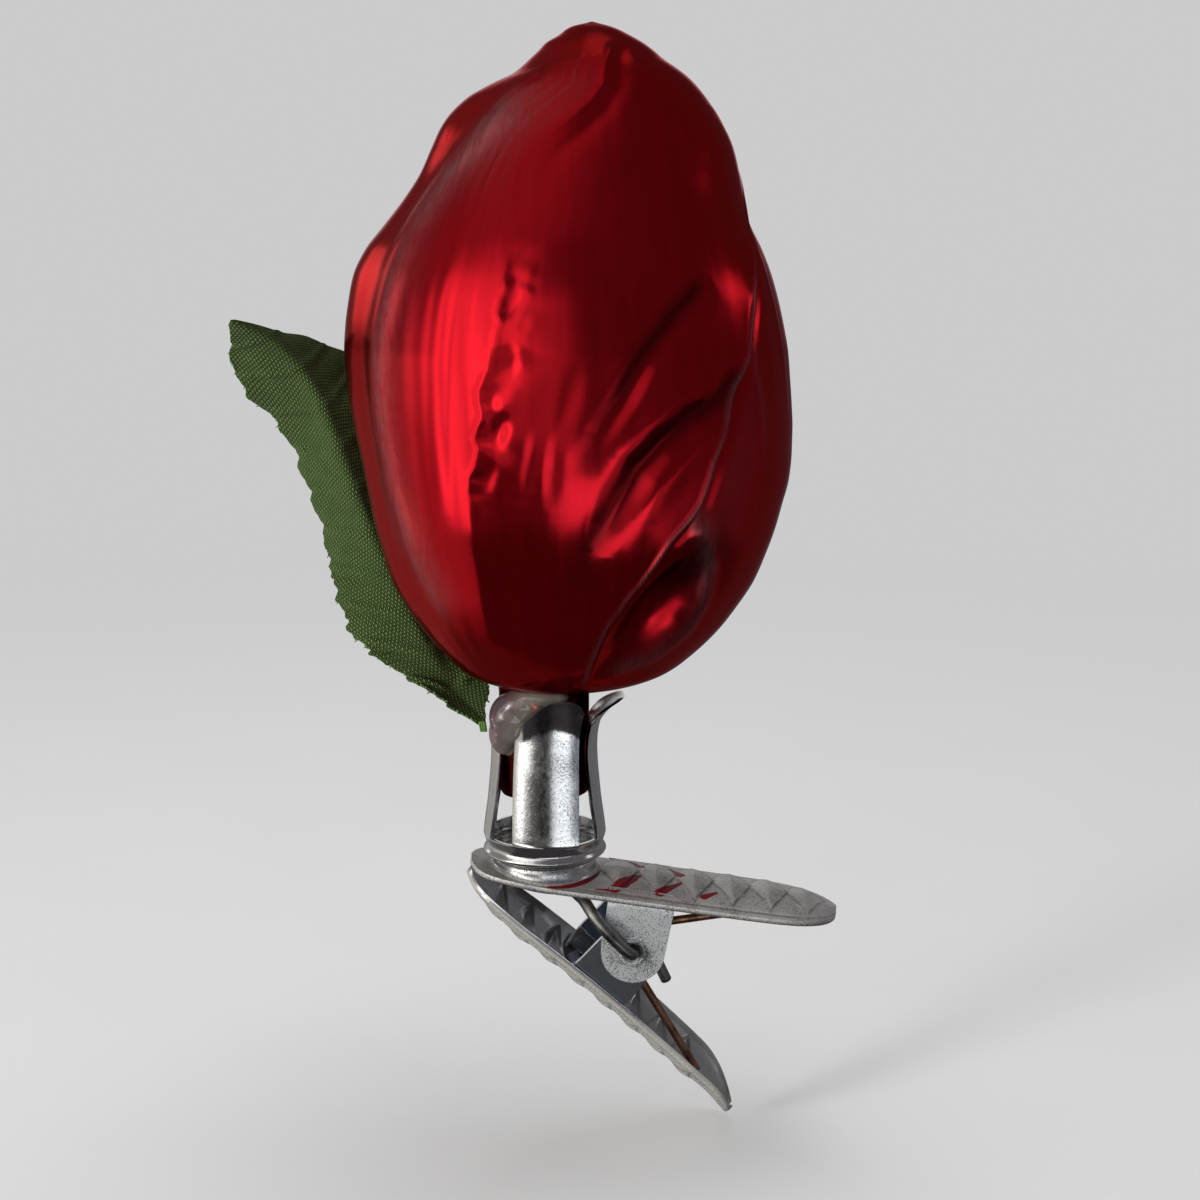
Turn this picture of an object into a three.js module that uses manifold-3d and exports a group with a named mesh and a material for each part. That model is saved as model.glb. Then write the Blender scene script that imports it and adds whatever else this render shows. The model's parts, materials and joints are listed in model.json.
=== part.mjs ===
// Clip-on rosebud ornament: a hollow blown-glass bud whose open pike is held by
// the spring prongs of a tin cup, the cup riveted to the upper plate of a sprung
// two-jaw clip, and a cloth leaf held beside the pike by a bead of glue.
// Millimetres, +Z up. Origin: the grip point between the jaw tips. The plates run
// along +X from the tips to the finger ends, and the hinge pin lies along Y.
import * as THREE from 'three';
import { mergeVertices } from 'three/addons/utils/BufferGeometryUtils.js';
import Module from 'manifold-3d';

// ---- driving dimensions (mm, degrees) -------------------------------------
const SHEET = 0.5; // tin plate thickness
const PIVOT = { x: 16.65, z: -7.06 }; // hinge axis, along Y

const UPPER = { x: 0, z: 0.35, slope: 8.3, length: 38 }; // plate start and fall
const LOWER = { x: 0.9, z: -0.96, slope: 41.3, start: -1.2, end: 36.4 };
const UPPER_CREST = 1.3; // arch of each plate across its width
const LOWER_CREST = 2.2;
const BOW = 0.7; // lengthwise bow of the lower plate
const UPPER_HALF_WIDTH = 6.0;
const LOWER_HALF_WIDTH = 5.1;

const EAR_HOLE_R = 0.85;
const PIN_R = 0.53;

const SPRING_WIRE_R = 0.5;
const SPRING_COIL_R = 1.8; // to the wire's centre
const SPRING_Y = { upper: -3.4, lower: -0.2 }; // where the coil's two ends leave it
const SPRING_TURNS = 2; // whole turns, beyond the part turn between the legs

const CUP_AXIS_X = 7.7;
const BOSS = { r: 5.3, wall: 0.55, top: 1.45, hole: 1.5 };
const CUP = { floor: 1.75, ringTop: 3.8, hole: 1.5, slot: 2.5, slotTop: 3.0, glueSlotTop: 5.4, sweep: 0.9 };
const RIVET = { shank: 1.2, headR: 2.4, headTop: 3.25, headSeat: 2.6, tailR: 2.3, tailSeat: 0.65, tailEnd: 0.05 };

const PIKE = { r: 4.55, bore: 3.55, bottom: 8.2, top: 17.7 };
const GLASS_WALL = 1.0;
const BUD_TIP = 83.3;
// height: left and right outline of the bud
const BUD_OUTLINE = [
  [18.6, 3.1, 15.0], [20.1, 0.75, 19.0], [22.7, -2.15, 22.6], [25.3, -4.3, 25.3],
  [27.8, -6.05, 27.15], [32.9, -8.15, 29.75], [37.9, -9.2, 31.25], [42.8, -10.1, 32.15],
  [47.7, -11.05, 32.05], [52.6, -11.4, 31.6], [57.4, -10.9, 30.6], [62.2, -9.15, 28.9],
  [66.9, -5.3, 26.9], [71.6, -2.6, 25.95], [76.2, 0.6, 23.5], [79.8, 6.7, 19.5],
  [82.2, 9.8, 16.0],
];

const LEAF_THICKNESS = 0.6;
const LEAF_MIDRIB = [
  [1.9, -2.2, 15.9], [-1.6, 0.4, 18.7], [-5.7, 3.6, 25.3], [-9.8, 6.0, 33.3],
  [-12.9, 7.2, 41.0], [-15.6, 7.4, 48.2], [-19.2, 6.4, 53.0], [-23.6, 5.0, 55.3],
];
const LEAF_OUTER = [
  [1.5, -3.2, 15.5], [-4.8, -0.6, 18.9], [-10.5, 4.6, 23.3], [-14.2, 9.4, 29.6],
  [-15.9, 12.0, 36.6], [-19.2, 12.0, 43.4], [-23.0, 9.4, 49.2], [-23.9, 5.6, 54.8],
];
const LEAF_INNER = [
  [1.6, -1.3, 16.3], [-0.9, 3.6, 19.4], [-3.2, 13.6, 26.4], [-5.4, 17.2, 34.0],
  [-6.6, 18.0, 41.4], [-9.4, 17.6, 47.6], [-14.2, 13.2, 51.8], [-23.1, 5.4, 55.4],
];

const GLUE = { angle: 225, radius: 5.95, z: 16.2, tangential: 1.6, radial: 0.95, vertical: 2.0 };

// ---- finishes ---------------------------------------------------------------
const finish = (color, roughness, metalness, extra = {}) =>
  new THREE.MeshStandardMaterial({ color, roughness, metalness, ...extra });
const redGlass = finish(0x8e0b17, 0.35, 0.55);
const tin = finish(0xc9cacb, 0.25, 0.95);
const steelWire = finish(0x7b7d80, 0.4, 0.9);
const copperWire = finish(0x8a5a3c, 0.4, 0.85);
const greenCloth = finish(0x3f7d3a, 0.9, 0.0, { side: THREE.DoubleSide });
const clearGlue = finish(0xd9c9c4, 0.15, 0.0, { transparent: true, opacity: 0.6 });

// ---- solid helpers ------------------------------------------------------------
const rad = THREE.MathUtils.degToRad;
const wasm = await Module();
wasm.setup();

function solid(geometry) {
  let g = geometry.clone();
  for (const name of Object.keys(g.attributes)) if (name !== 'position') g.deleteAttribute(name);
  g = mergeVertices(g, 1e-4);
  return new wasm.Manifold(new wasm.Mesh({
    numProp: 3,
    vertProperties: new Float32Array(g.attributes.position.array),
    triVerts: new Uint32Array(g.index.array),
  }));
}

function surface(manifold) {
  const m = manifold.getMesh();
  const p = new Float32Array(m.numVert * 3);
  for (let i = 0; i < m.numVert; i++) for (let k = 0; k < 3; k++) p[3 * i + k] = m.vertProperties[m.numProp * i + k];
  const g = new THREE.BufferGeometry();
  g.setAttribute('position', new THREE.BufferAttribute(p, 3));
  g.setIndex(new THREE.BufferAttribute(new Uint32Array(m.triVerts), 1));
  g.computeVertexNormals();
  return g;
}

// A unit box, cut into a grid, whose corners are carried to new places.
function mapped(nu, nv, nw, place) {
  const g = new THREE.BoxGeometry(1, 1, 1, nu, nv, nw);
  const p = g.attributes.position;
  for (let i = 0; i < p.count; i++) {
    const [x, y, z] = place(p.getX(i) + 0.5, 2 * p.getY(i), p.getZ(i) + 0.5);
    p.setXYZ(i, x, y, z);
  }
  g.computeVertexNormals();
  return g;
}

// A profile of [radius, height] pairs turned about the vertical through (x, 0).
function turned(profile, segments, x = 0) {
  const g = new THREE.LatheGeometry(profile.map(([r, z]) => new THREE.Vector2(r, z)), segments);
  g.rotateX(Math.PI / 2);
  g.translate(x, 0, 0);
  return g;
}

function rod(r, z0, z1, segments = 32) {
  return turned([[0, z0], [r, z0], [r, z1], [0, z1]], segments);
}

function table(rows, at) {
  if (at <= rows[0][0]) return rows[0].slice(1);
  for (let i = 1; i < rows.length; i++) {
    if (at <= rows[i][0]) {
      const f = (at - rows[i - 1][0]) / (rows[i][0] - rows[i - 1][0]);
      return rows[i].slice(1).map((v, k) => rows[i - 1][k + 1] * (1 - f) + v * f);
    }
  }
  return rows[rows.length - 1].slice(1);
}

function wire(points, radius, sides, steps, tension = 0.5) {
  const path = new THREE.CatmullRomCurve3(points.map((p) => new THREE.Vector3(...p)), false, 'catmullrom', tension);
  const section = new THREE.Shape();
  for (let i = 0; i < sides; i++) {
    const a = (2 * Math.PI * i) / sides;
    if (i === 0) section.moveTo(radius * Math.cos(a), radius * Math.sin(a));
    else section.lineTo(radius * Math.cos(a), radius * Math.sin(a));
  }
  section.closePath();
  return new THREE.ExtrudeGeometry(section, { steps, extrudePath: path, bevelEnabled: false });
}

function piece(name, geometry, material) {
  const m = new THREE.Mesh(geometry, material);
  m.name = name;
  return m;
}

// A plate's own frame: x along the plate, z square to it.
function frameOf(plate) {
  const g = new THREE.Group();
  g.position.set(plate.x, 0, plate.z);
  g.rotation.y = rad(plate.slope);
  g.updateMatrix();
  return g;
}

const toLocal = (group, x, y, z) => new THREE.Vector3(x, y, z).applyMatrix4(group.matrix.clone().invert());
const toRow = (group, x, y, z) => new THREE.Vector3(x, y, z).applyMatrix4(group.matrix).toArray();

// ---- clip plates ----------------------------------------------------------------
// Half-width along a plate: narrow rounded nose, full middle, round finger end.
const PLATE_WIDTH = [
  [0, 0.33], [0.8, 0.53], [2.2, 0.74], [4, 0.87], [6, 0.95], [9, 1], [22, 1],
  [30, 0.97], [33.2, 0.91], [35.2, 0.79], [36.7, 0.6], [37.6, 0.38], [38, 0.2],
];
// Share of the full arch along each plate: the upper one is level under the cup.
const UPPER_ARCH = [[0, 0.05], [2.5, 0.12], [8, 0.4], [13, 0.75], [17, 1], [30, 1], [35, 0.75], [38, 0.35]];
const LOWER_ARCH = [[0, 0.2], [3, 0.6], [8, 1], [30, 1], [35, 0.75], [38, 0.35]];
const archAcross = (t) => 1 - Math.abs(t) ** 2.4;

function upperInside(s, t) {
  return UPPER_CREST * table(UPPER_ARCH, s)[0] * archAcross(t);
}

function lowerInside(s, t) {
  const along = s - LOWER.start;
  const bow = BOW * Math.sin((Math.PI * along) / (LOWER.end - LOWER.start));
  const lip = along < 2.4 ? 0.3 * ((2.4 - along) / 2.4) ** 1.5 : 0;
  const flare = s > 31 ? -1.5 * ((s - 31) / 5.4) ** 2 : 0;
  return bow + lip + flare - LOWER_CREST * table(LOWER_ARCH, along)[0] * archAcross(t);
}

function upperPlate(depth) {
  return mapped(20, 8, 1, (u, t, w) => {
    const s = u * UPPER.length;
    const [k] = table(PLATE_WIDTH, s);
    const inside = upperInside(s, t);
    return [s, t * k * UPPER_HALF_WIDTH, w > 0.5 ? inside + SHEET : inside - depth];
  });
}

function lowerPlate() {
  return mapped(20, 8, 1, (u, t, w) => {
    const s = LOWER.start + u * (LOWER.end - LOWER.start);
    const [k] = table(PLATE_WIDTH, u * 38);
    const inside = lowerInside(s, t);
    return [s, t * k * LOWER_HALF_WIDTH, w > 0.5 ? inside : inside - SHEET];
  });
}

// A flat lug in the plate's x-z plane, round at the hinge, with the pin hole.
function lug(x0, x1, root, hinge, round, yOuter, side) {
  const s = new THREE.Shape();
  const dir = Math.sign(hinge.z - root);
  const steps = 10;
  s.moveTo(x0, root);
  s.lineTo(hinge.x - round, hinge.z - dir * 0.6);
  for (let i = 0; i <= steps; i++) {
    const a = Math.PI - (Math.PI * i) / steps;
    s.lineTo(hinge.x + round * Math.cos(a), hinge.z + dir * round * Math.sin(a));
  }
  s.lineTo(hinge.x + round, hinge.z - dir * 0.6);
  s.lineTo(x1, root);
  s.closePath();
  const hole = new THREE.Path();
  for (let i = 0; i < 14; i++) {
    const a = (2 * Math.PI * i) / 14;
    const px = hinge.x + EAR_HOLE_R * Math.cos(a);
    const pz = hinge.z + EAR_HOLE_R * Math.sin(a);
    if (i === 0) hole.moveTo(px, pz);
    else hole.lineTo(px, pz);
  }
  hole.closePath();
  s.holes.push(hole);
  const g = new THREE.ExtrudeGeometry(s, { depth: SHEET, bevelEnabled: false });
  g.rotateX(Math.PI / 2); // the shape's height becomes z, its depth runs to -y
  g.translate(0, side > 0 ? yOuter : -yOuter + SHEET, 0);
  return g;
}

const upperFrame = frameOf(UPPER);
const lowerFrame = frameOf(LOWER);

function buildUpperJaw() {
  const hinge = toLocal(upperFrame, PIVOT.x, 0, PIVOT.z);
  const tilt = (g) => g.applyMatrix4(upperFrame.matrix.clone().invert());
  const boss = solid(tilt(turned([[0, -4], [BOSS.r, -4], [BOSS.r, BOSS.top], [0, BOSS.top]], 28, CUP_AXIS_X)))
    .subtract(solid(tilt(turned(
      [[0, -6], [BOSS.r - BOSS.wall, -6], [BOSS.r - BOSS.wall, BOSS.top - SHEET], [0, BOSS.top - SHEET]], 28, CUP_AXIS_X))))
    .subtract(solid(tilt(rod(BOSS.hole, -8, 6, 14).translate(CUP_AXIS_X, 0, 0))))
    .subtract(solid(upperPlate(8).translate(0, 0, -0.25)));
  const well = solid(tilt(rod(BOSS.r - BOSS.wall, -6, 8, 28).translate(CUP_AXIS_X, 0, 0)));
  const ear = (side) => solid(lug(14.4, 21.0, 0.33, hinge, 3.2, UPPER_HALF_WIDTH - 0.02, side));
  return surface(solid(upperPlate(0)).subtract(well).add(boss).add(ear(1)).add(ear(-1)));
}

function buildLowerJaw() {
  const hinge = toLocal(lowerFrame, PIVOT.x, 0, PIVOT.z);
  const root = lowerInside(16, 0.95) - 0.22;
  const ear = (side) => solid(lug(12.6, 19.3, root, hinge, 3.15, LOWER_HALF_WIDTH - 0.02, side));
  return surface(solid(lowerPlate()).add(ear(1)).add(ear(-1)));
}

upperFrame.add(piece('upper_jaw', buildUpperJaw(), tin));
lowerFrame.add(piece('lower_jaw', buildLowerJaw(), tin));

// ---- collar: riveted cup with four spring prongs -----------------------------------
const PRONG_R = [
  [2.35, 6.2], [3.0, 6.3], [3.8, 6.25], [8, 5.75], [13.0, 5.4], [15.4, 5.5], [16.8, 6.1], [17.9, 7.1],
];

function buildCollar() {
  const outside = PRONG_R.map(([z, r]) => [r, z]);
  const inside = PRONG_R.map(([z, r]) => [r - SHEET, z]).reverse();
  const profile = [
    [0, CUP.floor], [5.6, CUP.floor], ...outside, ...inside.slice(0, -1),
    [5.45, CUP.floor + SHEET], [0, CUP.floor + SHEET],
  ];
  const swept = turned(profile, 40);
  const p = swept.attributes.position;
  for (let i = 0; i < p.count; i++) { // the prong tips lean a little towards +X
    const up = Math.max(0, p.getZ(i) - 13) / 4.9;
    p.setX(i, p.getX(i) + CUP.sweep * up * up);
  }
  let cup = solid(swept).subtract(solid(rod(CUP.hole, CUP.floor - 1, CUP.floor + 2, 14)));
  for (const deg of [45, 135, 225, 315]) { // slots open out towards the prong tips
    const [h, k] = [CUP.slot / 2, (deg === GLUE.angle ? CUP.glueSlotTop : CUP.slotTop) / 2];
    const outline = new THREE.Shape();
    outline.moveTo(-h, CUP.ringTop);
    for (const [x, z] of [[h, CUP.ringTop], [h, 11], [k, 17.9], [k, 30], [-k, 30], [-k, 17.9], [-h, 11]]) outline.lineTo(x, z);
    outline.closePath();
    const cut = new THREE.ExtrudeGeometry(outline, { depth: 14, bevelEnabled: false });
    cut.rotateX(Math.PI / 2);
    cut.translate(0, 14.4, 0);
    cut.rotateZ(rad(deg - 90));
    cup = cup.subtract(solid(cut));
  }
  return surface(cup);
}

const collar = piece('collar', buildCollar(), tin);
collar.position.x = CUP_AXIS_X;

const collarRivet = piece('collar_rivet', turned([
  [0, RIVET.tailEnd], [RIVET.tailR - 0.4, RIVET.tailEnd], [RIVET.tailR, RIVET.tailEnd + 0.25], [RIVET.tailR, RIVET.tailSeat],
  [RIVET.shank, RIVET.tailSeat], [RIVET.shank, RIVET.headSeat], [RIVET.headR, RIVET.headSeat],
  [RIVET.headR * 0.85, RIVET.headTop - 0.2], [RIVET.headR * 0.5, RIVET.headTop], [0, RIVET.headTop],
], 16), tin);
collarRivet.position.x = CUP_AXIS_X;

// ---- glass bud -----------------------------------------------------------------------
function budProfile() {
  const rows = BUD_OUTLINE.map(([z, l, r]) => [z, (r - l) / 2, (r + l) / 2]);
  return [[PIKE.top, PIKE.r, CUP_AXIS_X + 0.2], ...rows];
}

function leanAt(z) {
  if (z <= PIKE.top) return CUP_AXIS_X;
  const rows = [[PIKE.top, CUP_AXIS_X], ...budProfile().slice(1).map(([h, , c]) => [h, c]), [BUD_TIP, 12.6]];
  return table(rows, z)[0];
}

function leaned(g) {
  const p = g.attributes.position;
  for (let i = 0; i < p.count; i++) p.setX(i, p.getX(i) + leanAt(p.getZ(i)));
  g.computeVertexNormals();
  return g;
}

function buildBud() {
  const rows = budProfile();
  const outside = [[0, PIKE.bottom], [PIKE.r, PIKE.bottom], ...rows.map(([z, r]) => [r, z]), [0, BUD_TIP]];
  const inside = [
    [0, PIKE.bottom - 2], [PIKE.bore, PIKE.bottom - 2], [PIKE.bore, PIKE.top - 0.5], [PIKE.bore, PIKE.top + 1.2],
    ...rows.slice(2, -1).map(([z, r]) => [r - GLASS_WALL * 1.05, z < 30 ? z + 0.75 : z > 70 ? z - 0.5 : z]),
    [0, BUD_TIP - GLASS_WALL * 1.6],
  ];
  return surface(solid(leaned(turned(outside, 36))).subtract(solid(leaned(turned(inside, 28)))));
}

const glassBud = piece('glass_bud', buildBud(), redGlass);

// ---- hinge pin: wire with both ends bent over, opposite ways ---------------------------
const hingePin = piece('hinge_pin', wire([
  [11.75, -4.55, -1.95], [12.6, -6.0, -2.95], [13.7, -6.85, -4.2], [15.5, -6.95, -6.1],
  [16.45, -6.85, -6.9], [PIVOT.x, -6.2, PIVOT.z], [PIVOT.x, -3.5, PIVOT.z], [PIVOT.x, 0, PIVOT.z],
  [PIVOT.x, 3.5, PIVOT.z], [PIVOT.x, 6.2, PIVOT.z], [16.85, 6.85, -7.35],
  [17.8, 7.0, -9.4], [19.2, 7.0, -12.4], [20.5, 6.9, -15.2],
], PIN_R, 8, 36, 0.4), steelWire);

// ---- torsion spring: coil round the pin, one leg under each finger plate ---------------
function tangent(end, turnSign) {
  const dx = end[0] - PIVOT.x;
  const dz = end[2] - PIVOT.z;
  return Math.atan2(dz, dx) + turnSign * Math.acos(SPRING_COIL_R / Math.hypot(dx, dz));
}

function buildSpring() {
  const gap = SPRING_WIRE_R + 0.32;
  const [yu, yl] = [SPRING_Y.upper, SPRING_Y.lower];
  const upperEnd = toRow(upperFrame, 27.5, yu, upperInside(27.5, yu / UPPER_HALF_WIDTH) - gap - 0.2);
  const lowerEnd = toRow(lowerFrame, 31.0, yl, lowerInside(31.0, yl / LOWER_HALF_WIDTH) + gap);
  const a0 = tangent(upperEnd, 1);
  let a1 = tangent(lowerEnd, -1);
  while (a1 < a0 + 2 * Math.PI * SPRING_TURNS) a1 += 2 * Math.PI;
  const turns = Math.round(((a1 - a0) / (2 * Math.PI)) * 14);
  const coil = [];
  for (let i = 0; i <= turns; i++) {
    const f = i / turns;
    const a = a0 + f * (a1 - a0);
    coil.push([PIVOT.x + SPRING_COIL_R * Math.cos(a), yu + (yl - yu) * f, PIVOT.z + SPRING_COIL_R * Math.sin(a)]);
  }
  const between = (p, q, f) => p.map((v, k) => v + (q[k] - v) * f);
  const first = coil[0];
  const last = coil[coil.length - 1];
  return wire([
    upperEnd, between(upperEnd, first, 0.35), between(upperEnd, first, 0.7), between(upperEnd, first, 0.92), ...coil,
    between(last, lowerEnd, 0.08), between(last, lowerEnd, 0.3), between(last, lowerEnd, 0.65), lowerEnd,
  ], SPRING_WIRE_R, 6, 66, 0.5);
}

const torsionSpring = piece('torsion_spring', buildSpring(), copperWire);

// ---- cloth leaf: thin blade folded along its midrib --------------------------------------
function buildLeaf() {
  const curve = (pts) => new THREE.CatmullRomCurve3(pts.map((p) => new THREE.Vector3(...p)), false, 'catmullrom', 0.5);
  const [rib, outer, inner] = [LEAF_MIDRIB, LEAF_OUTER, LEAF_INNER].map(curve);
  const at = (u, t) => {
    const m = rib.getPoint(u);
    const e = (t < 0 ? outer : inner).getPoint(u);
    return m.lerp(e, Math.abs(t));
  };
  return mapped(18, 6, 1, (u, t, w) => {
    const h = 0.01;
    const u0 = Math.max(u - h, 0);
    const u1 = Math.min(u + h, 1);
    const p = at(u, t);
    const along = at(u1, t).sub(at(u0, t));
    const across = at(u, Math.min(t + h, 1)).sub(at(u, Math.max(t - h, -1)));
    const n = along.cross(across).normalize();
    return p.addScaledVector(n, (w - 0.5) * LEAF_THICKNESS).toArray();
  });
}

const leaf = piece('leaf', surface(solid(buildLeaf())), greenCloth);

// ---- glue bead between leaf, pike and prongs ------------------------------------------------
const glueBead = piece('glue_bead', new THREE.SphereGeometry(1, 14, 8), clearGlue);
glueBead.geometry.scale(GLUE.radial, GLUE.tangential, GLUE.vertical);
glueBead.rotation.z = rad(GLUE.angle);
glueBead.position.set(
  CUP_AXIS_X + GLUE.radius * Math.cos(rad(GLUE.angle)), GLUE.radius * Math.sin(rad(GLUE.angle)), GLUE.z);

// ---- assembly --------------------------------------------------------------------------------
const ornament = new THREE.Group();
ornament.add(upperFrame, lowerFrame, collar, collarRivet, glassBud, hingePin, torsionSpring, leaf, glueBead);

export default ornament;
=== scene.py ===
"""Clip-on glass rosebud ornament: its looks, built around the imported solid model.

Everything below is in the model's own frame (origin at the grip point, +Z up).
Lengths in the tables are millimetres; meshes are made in metres.
"""

import json
import math

import bpy
import numpy as np
from mathutils import Matrix, Vector

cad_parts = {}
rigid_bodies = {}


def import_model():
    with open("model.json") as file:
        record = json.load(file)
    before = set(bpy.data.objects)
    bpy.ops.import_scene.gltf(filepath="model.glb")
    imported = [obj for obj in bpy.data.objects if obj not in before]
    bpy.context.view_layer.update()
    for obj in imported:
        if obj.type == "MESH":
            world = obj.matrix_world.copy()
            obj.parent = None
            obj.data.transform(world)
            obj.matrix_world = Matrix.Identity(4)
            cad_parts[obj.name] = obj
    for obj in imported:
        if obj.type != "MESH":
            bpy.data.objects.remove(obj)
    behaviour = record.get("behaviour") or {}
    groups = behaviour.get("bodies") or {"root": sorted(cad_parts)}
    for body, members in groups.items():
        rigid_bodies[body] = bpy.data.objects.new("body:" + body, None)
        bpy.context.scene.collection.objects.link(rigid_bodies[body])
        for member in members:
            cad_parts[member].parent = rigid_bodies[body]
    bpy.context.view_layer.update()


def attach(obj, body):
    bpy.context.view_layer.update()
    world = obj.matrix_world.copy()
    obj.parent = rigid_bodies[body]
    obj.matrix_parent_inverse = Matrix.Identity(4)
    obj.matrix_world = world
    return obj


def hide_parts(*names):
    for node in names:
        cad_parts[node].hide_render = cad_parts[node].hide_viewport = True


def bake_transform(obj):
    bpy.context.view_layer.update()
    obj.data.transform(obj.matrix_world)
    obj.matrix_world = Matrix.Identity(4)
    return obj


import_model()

MM = 0.001
BACKDROP = (0.60, 0.60, 0.605, 1)


# ---------------------------------------------------------------- small maths
def pchip(rows, column=1):
    """Smooth curve through (x, y) rows that never overshoots them."""
    x = np.array([r[0] for r in rows], float)
    y = np.array([r[column] for r in rows], float)
    h = np.diff(x)
    d = np.diff(y) / h
    m = np.zeros_like(y)
    for i in range(1, len(x) - 1):
        if d[i - 1] * d[i] > 0:
            w1, w2 = 2 * h[i] + h[i - 1], h[i] + 2 * h[i - 1]
            m[i] = (w1 + w2) / (w1 / d[i - 1] + w2 / d[i])
    m[0], m[-1] = d[0], d[-1]

    def f(at):
        at = np.clip(np.asarray(at, float), x[0], x[-1])
        i = np.clip(np.searchsorted(x, at, side="right") - 1, 0, len(x) - 2)
        t = (at - x[i]) / h[i]
        return ((1 + 2 * t) * (1 - t) ** 2 * y[i] + t * (1 - t) ** 2 * h[i] * m[i]
                + t * t * (3 - 2 * t) * y[i + 1] + t * t * (t - 1) * h[i] * m[i + 1])

    return f


def smooth(a, b, x):
    t = np.clip((np.asarray(x, float) - a) / (b - a), 0, 1)
    return t * t * (3 - 2 * t)


def catmull(points, u, tension=0.5):
    """Points of a Catmull-Rom curve at u in 0..1."""
    p = np.array(points, float)
    n = len(p) - 1
    u = np.atleast_1d(np.asarray(u, float))
    i = np.clip(np.floor(u * n).astype(int), 0, n - 1)
    w = (u * n - i)[:, None]
    first = 2 * p[0] - p[1]
    last = 2 * p[-1] - p[-2]
    e = np.vstack([first, p, last])
    p0, p1, p2, p3 = e[i], e[i + 1], e[i + 2], e[i + 3]
    t0, t1 = tension * (p2 - p0), tension * (p3 - p1)
    return ((2 * p1 - 2 * p2 + t0 + t1) * w ** 3 + (-3 * p1 + 3 * p2 - 2 * t0 - t1) * w ** 2 + t0 * w + p1)


def unit(v):
    v = np.asarray(v, float)
    return v / np.maximum(np.linalg.norm(v, axis=-1, keepdims=True), 1e-12)


def wobble(x, y, z, scale, seed, octaves=3):
    """Smooth repeatable noise, about -1..1, from sums of slanted waves."""
    r = np.random.default_rng(seed)
    out = np.zeros(np.broadcast(x, y, z).shape)
    for k in range(octaves):
        for _ in range(6):
            d = unit(r.normal(size=3)) * (2 * math.pi / scale) * 1.9 ** k * r.uniform(0.7, 1.3)
            out = out + np.sin(d[0] * x + d[1] * y + d[2] * z + r.uniform(0, 6.283)) * 0.55 ** k
    return out / 4.2


# ---------------------------------------------------------------- mesh helpers
def make(name, verts, faces, angle=None):
    me = bpy.data.meshes.new(name)
    me.from_pydata((np.asarray(verts, float) * MM).tolist(), [], [list(map(int, f)) for f in faces])
    me.polygons.foreach_set("use_smooth", [True] * len(me.polygons))
    me.update()
    if angle:
        me.set_sharp_from_angle(angle=math.radians(angle))
    ob = bpy.data.objects.new(name, me)
    bpy.context.scene.collection.objects.link(ob)
    return ob


class Build:
    """Collects vertices and faces of several closed shells into one mesh."""

    def __init__(self):
        self.v, self.f, self.m, self.n = [], [], [], 0

    def add(self, verts, faces, material=0):
        verts = np.asarray(verts, float).reshape(-1, 3)
        self.v.append(verts)
        self.f += [[int(i) + self.n for i in f] for f in faces]
        self.m += [material] * len(faces)
        self.n += len(verts)

    def object(self, name, angle=None):
        ob = make(name, np.vstack(self.v), self.f, angle)
        ob.data.polygons.foreach_set("material_index", self.m)
        return ob


def grid_faces(nu, nv, wrap_u=False, wrap_v=False, flip=False):
    out = []
    for i in range(nu if wrap_u else nu - 1):
        a, b = i * nv, ((i + 1) % nu) * nv
        for j in range(nv if wrap_v else nv - 1):
            k = (j + 1) % nv
            q = [a + j, b + j, b + k, a + k]
            out.append(q[::-1] if flip else q)
    return out


def slab(top, bottom):
    """Closed shell between two matching grids, top's faces pointing away from bottom."""
    nu, nv = top.shape[:2]
    n = nu * nv
    faces = grid_faces(nu, nv) + [[i + n for i in f[::-1]] for f in grid_faces(nu, nv)]
    ring = ([(i, 0) for i in range(nu)] + [(nu - 1, j) for j in range(1, nv)]
            + [(i, nv - 1) for i in range(nu - 2, -1, -1)] + [(0, j) for j in range(nv - 2, 0, -1)])
    ids = [i * nv + j for i, j in ring]
    for a, b in zip(ids, ids[1:] + ids[:1]):
        faces.append([b, a, a + n, b + n])
    verts = np.vstack([top.reshape(-1, 3), bottom.reshape(-1, 3)])
    c = top[nu // 2, nv // 2]
    i, j = nu // 2, nv // 2
    normal = np.cross(top[min(i + 1, nu - 1), j] - c, top[i, min(j + 1, nv - 1)] - c)
    if normal @ (c - bottom[i, j]) < 0:
        faces = [f[::-1] for f in faces]
    return verts, faces


def normals_of(grid):
    du = np.gradient(grid, axis=0)
    dv = np.gradient(grid, axis=1)
    return unit(np.cross(du, dv))


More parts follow.
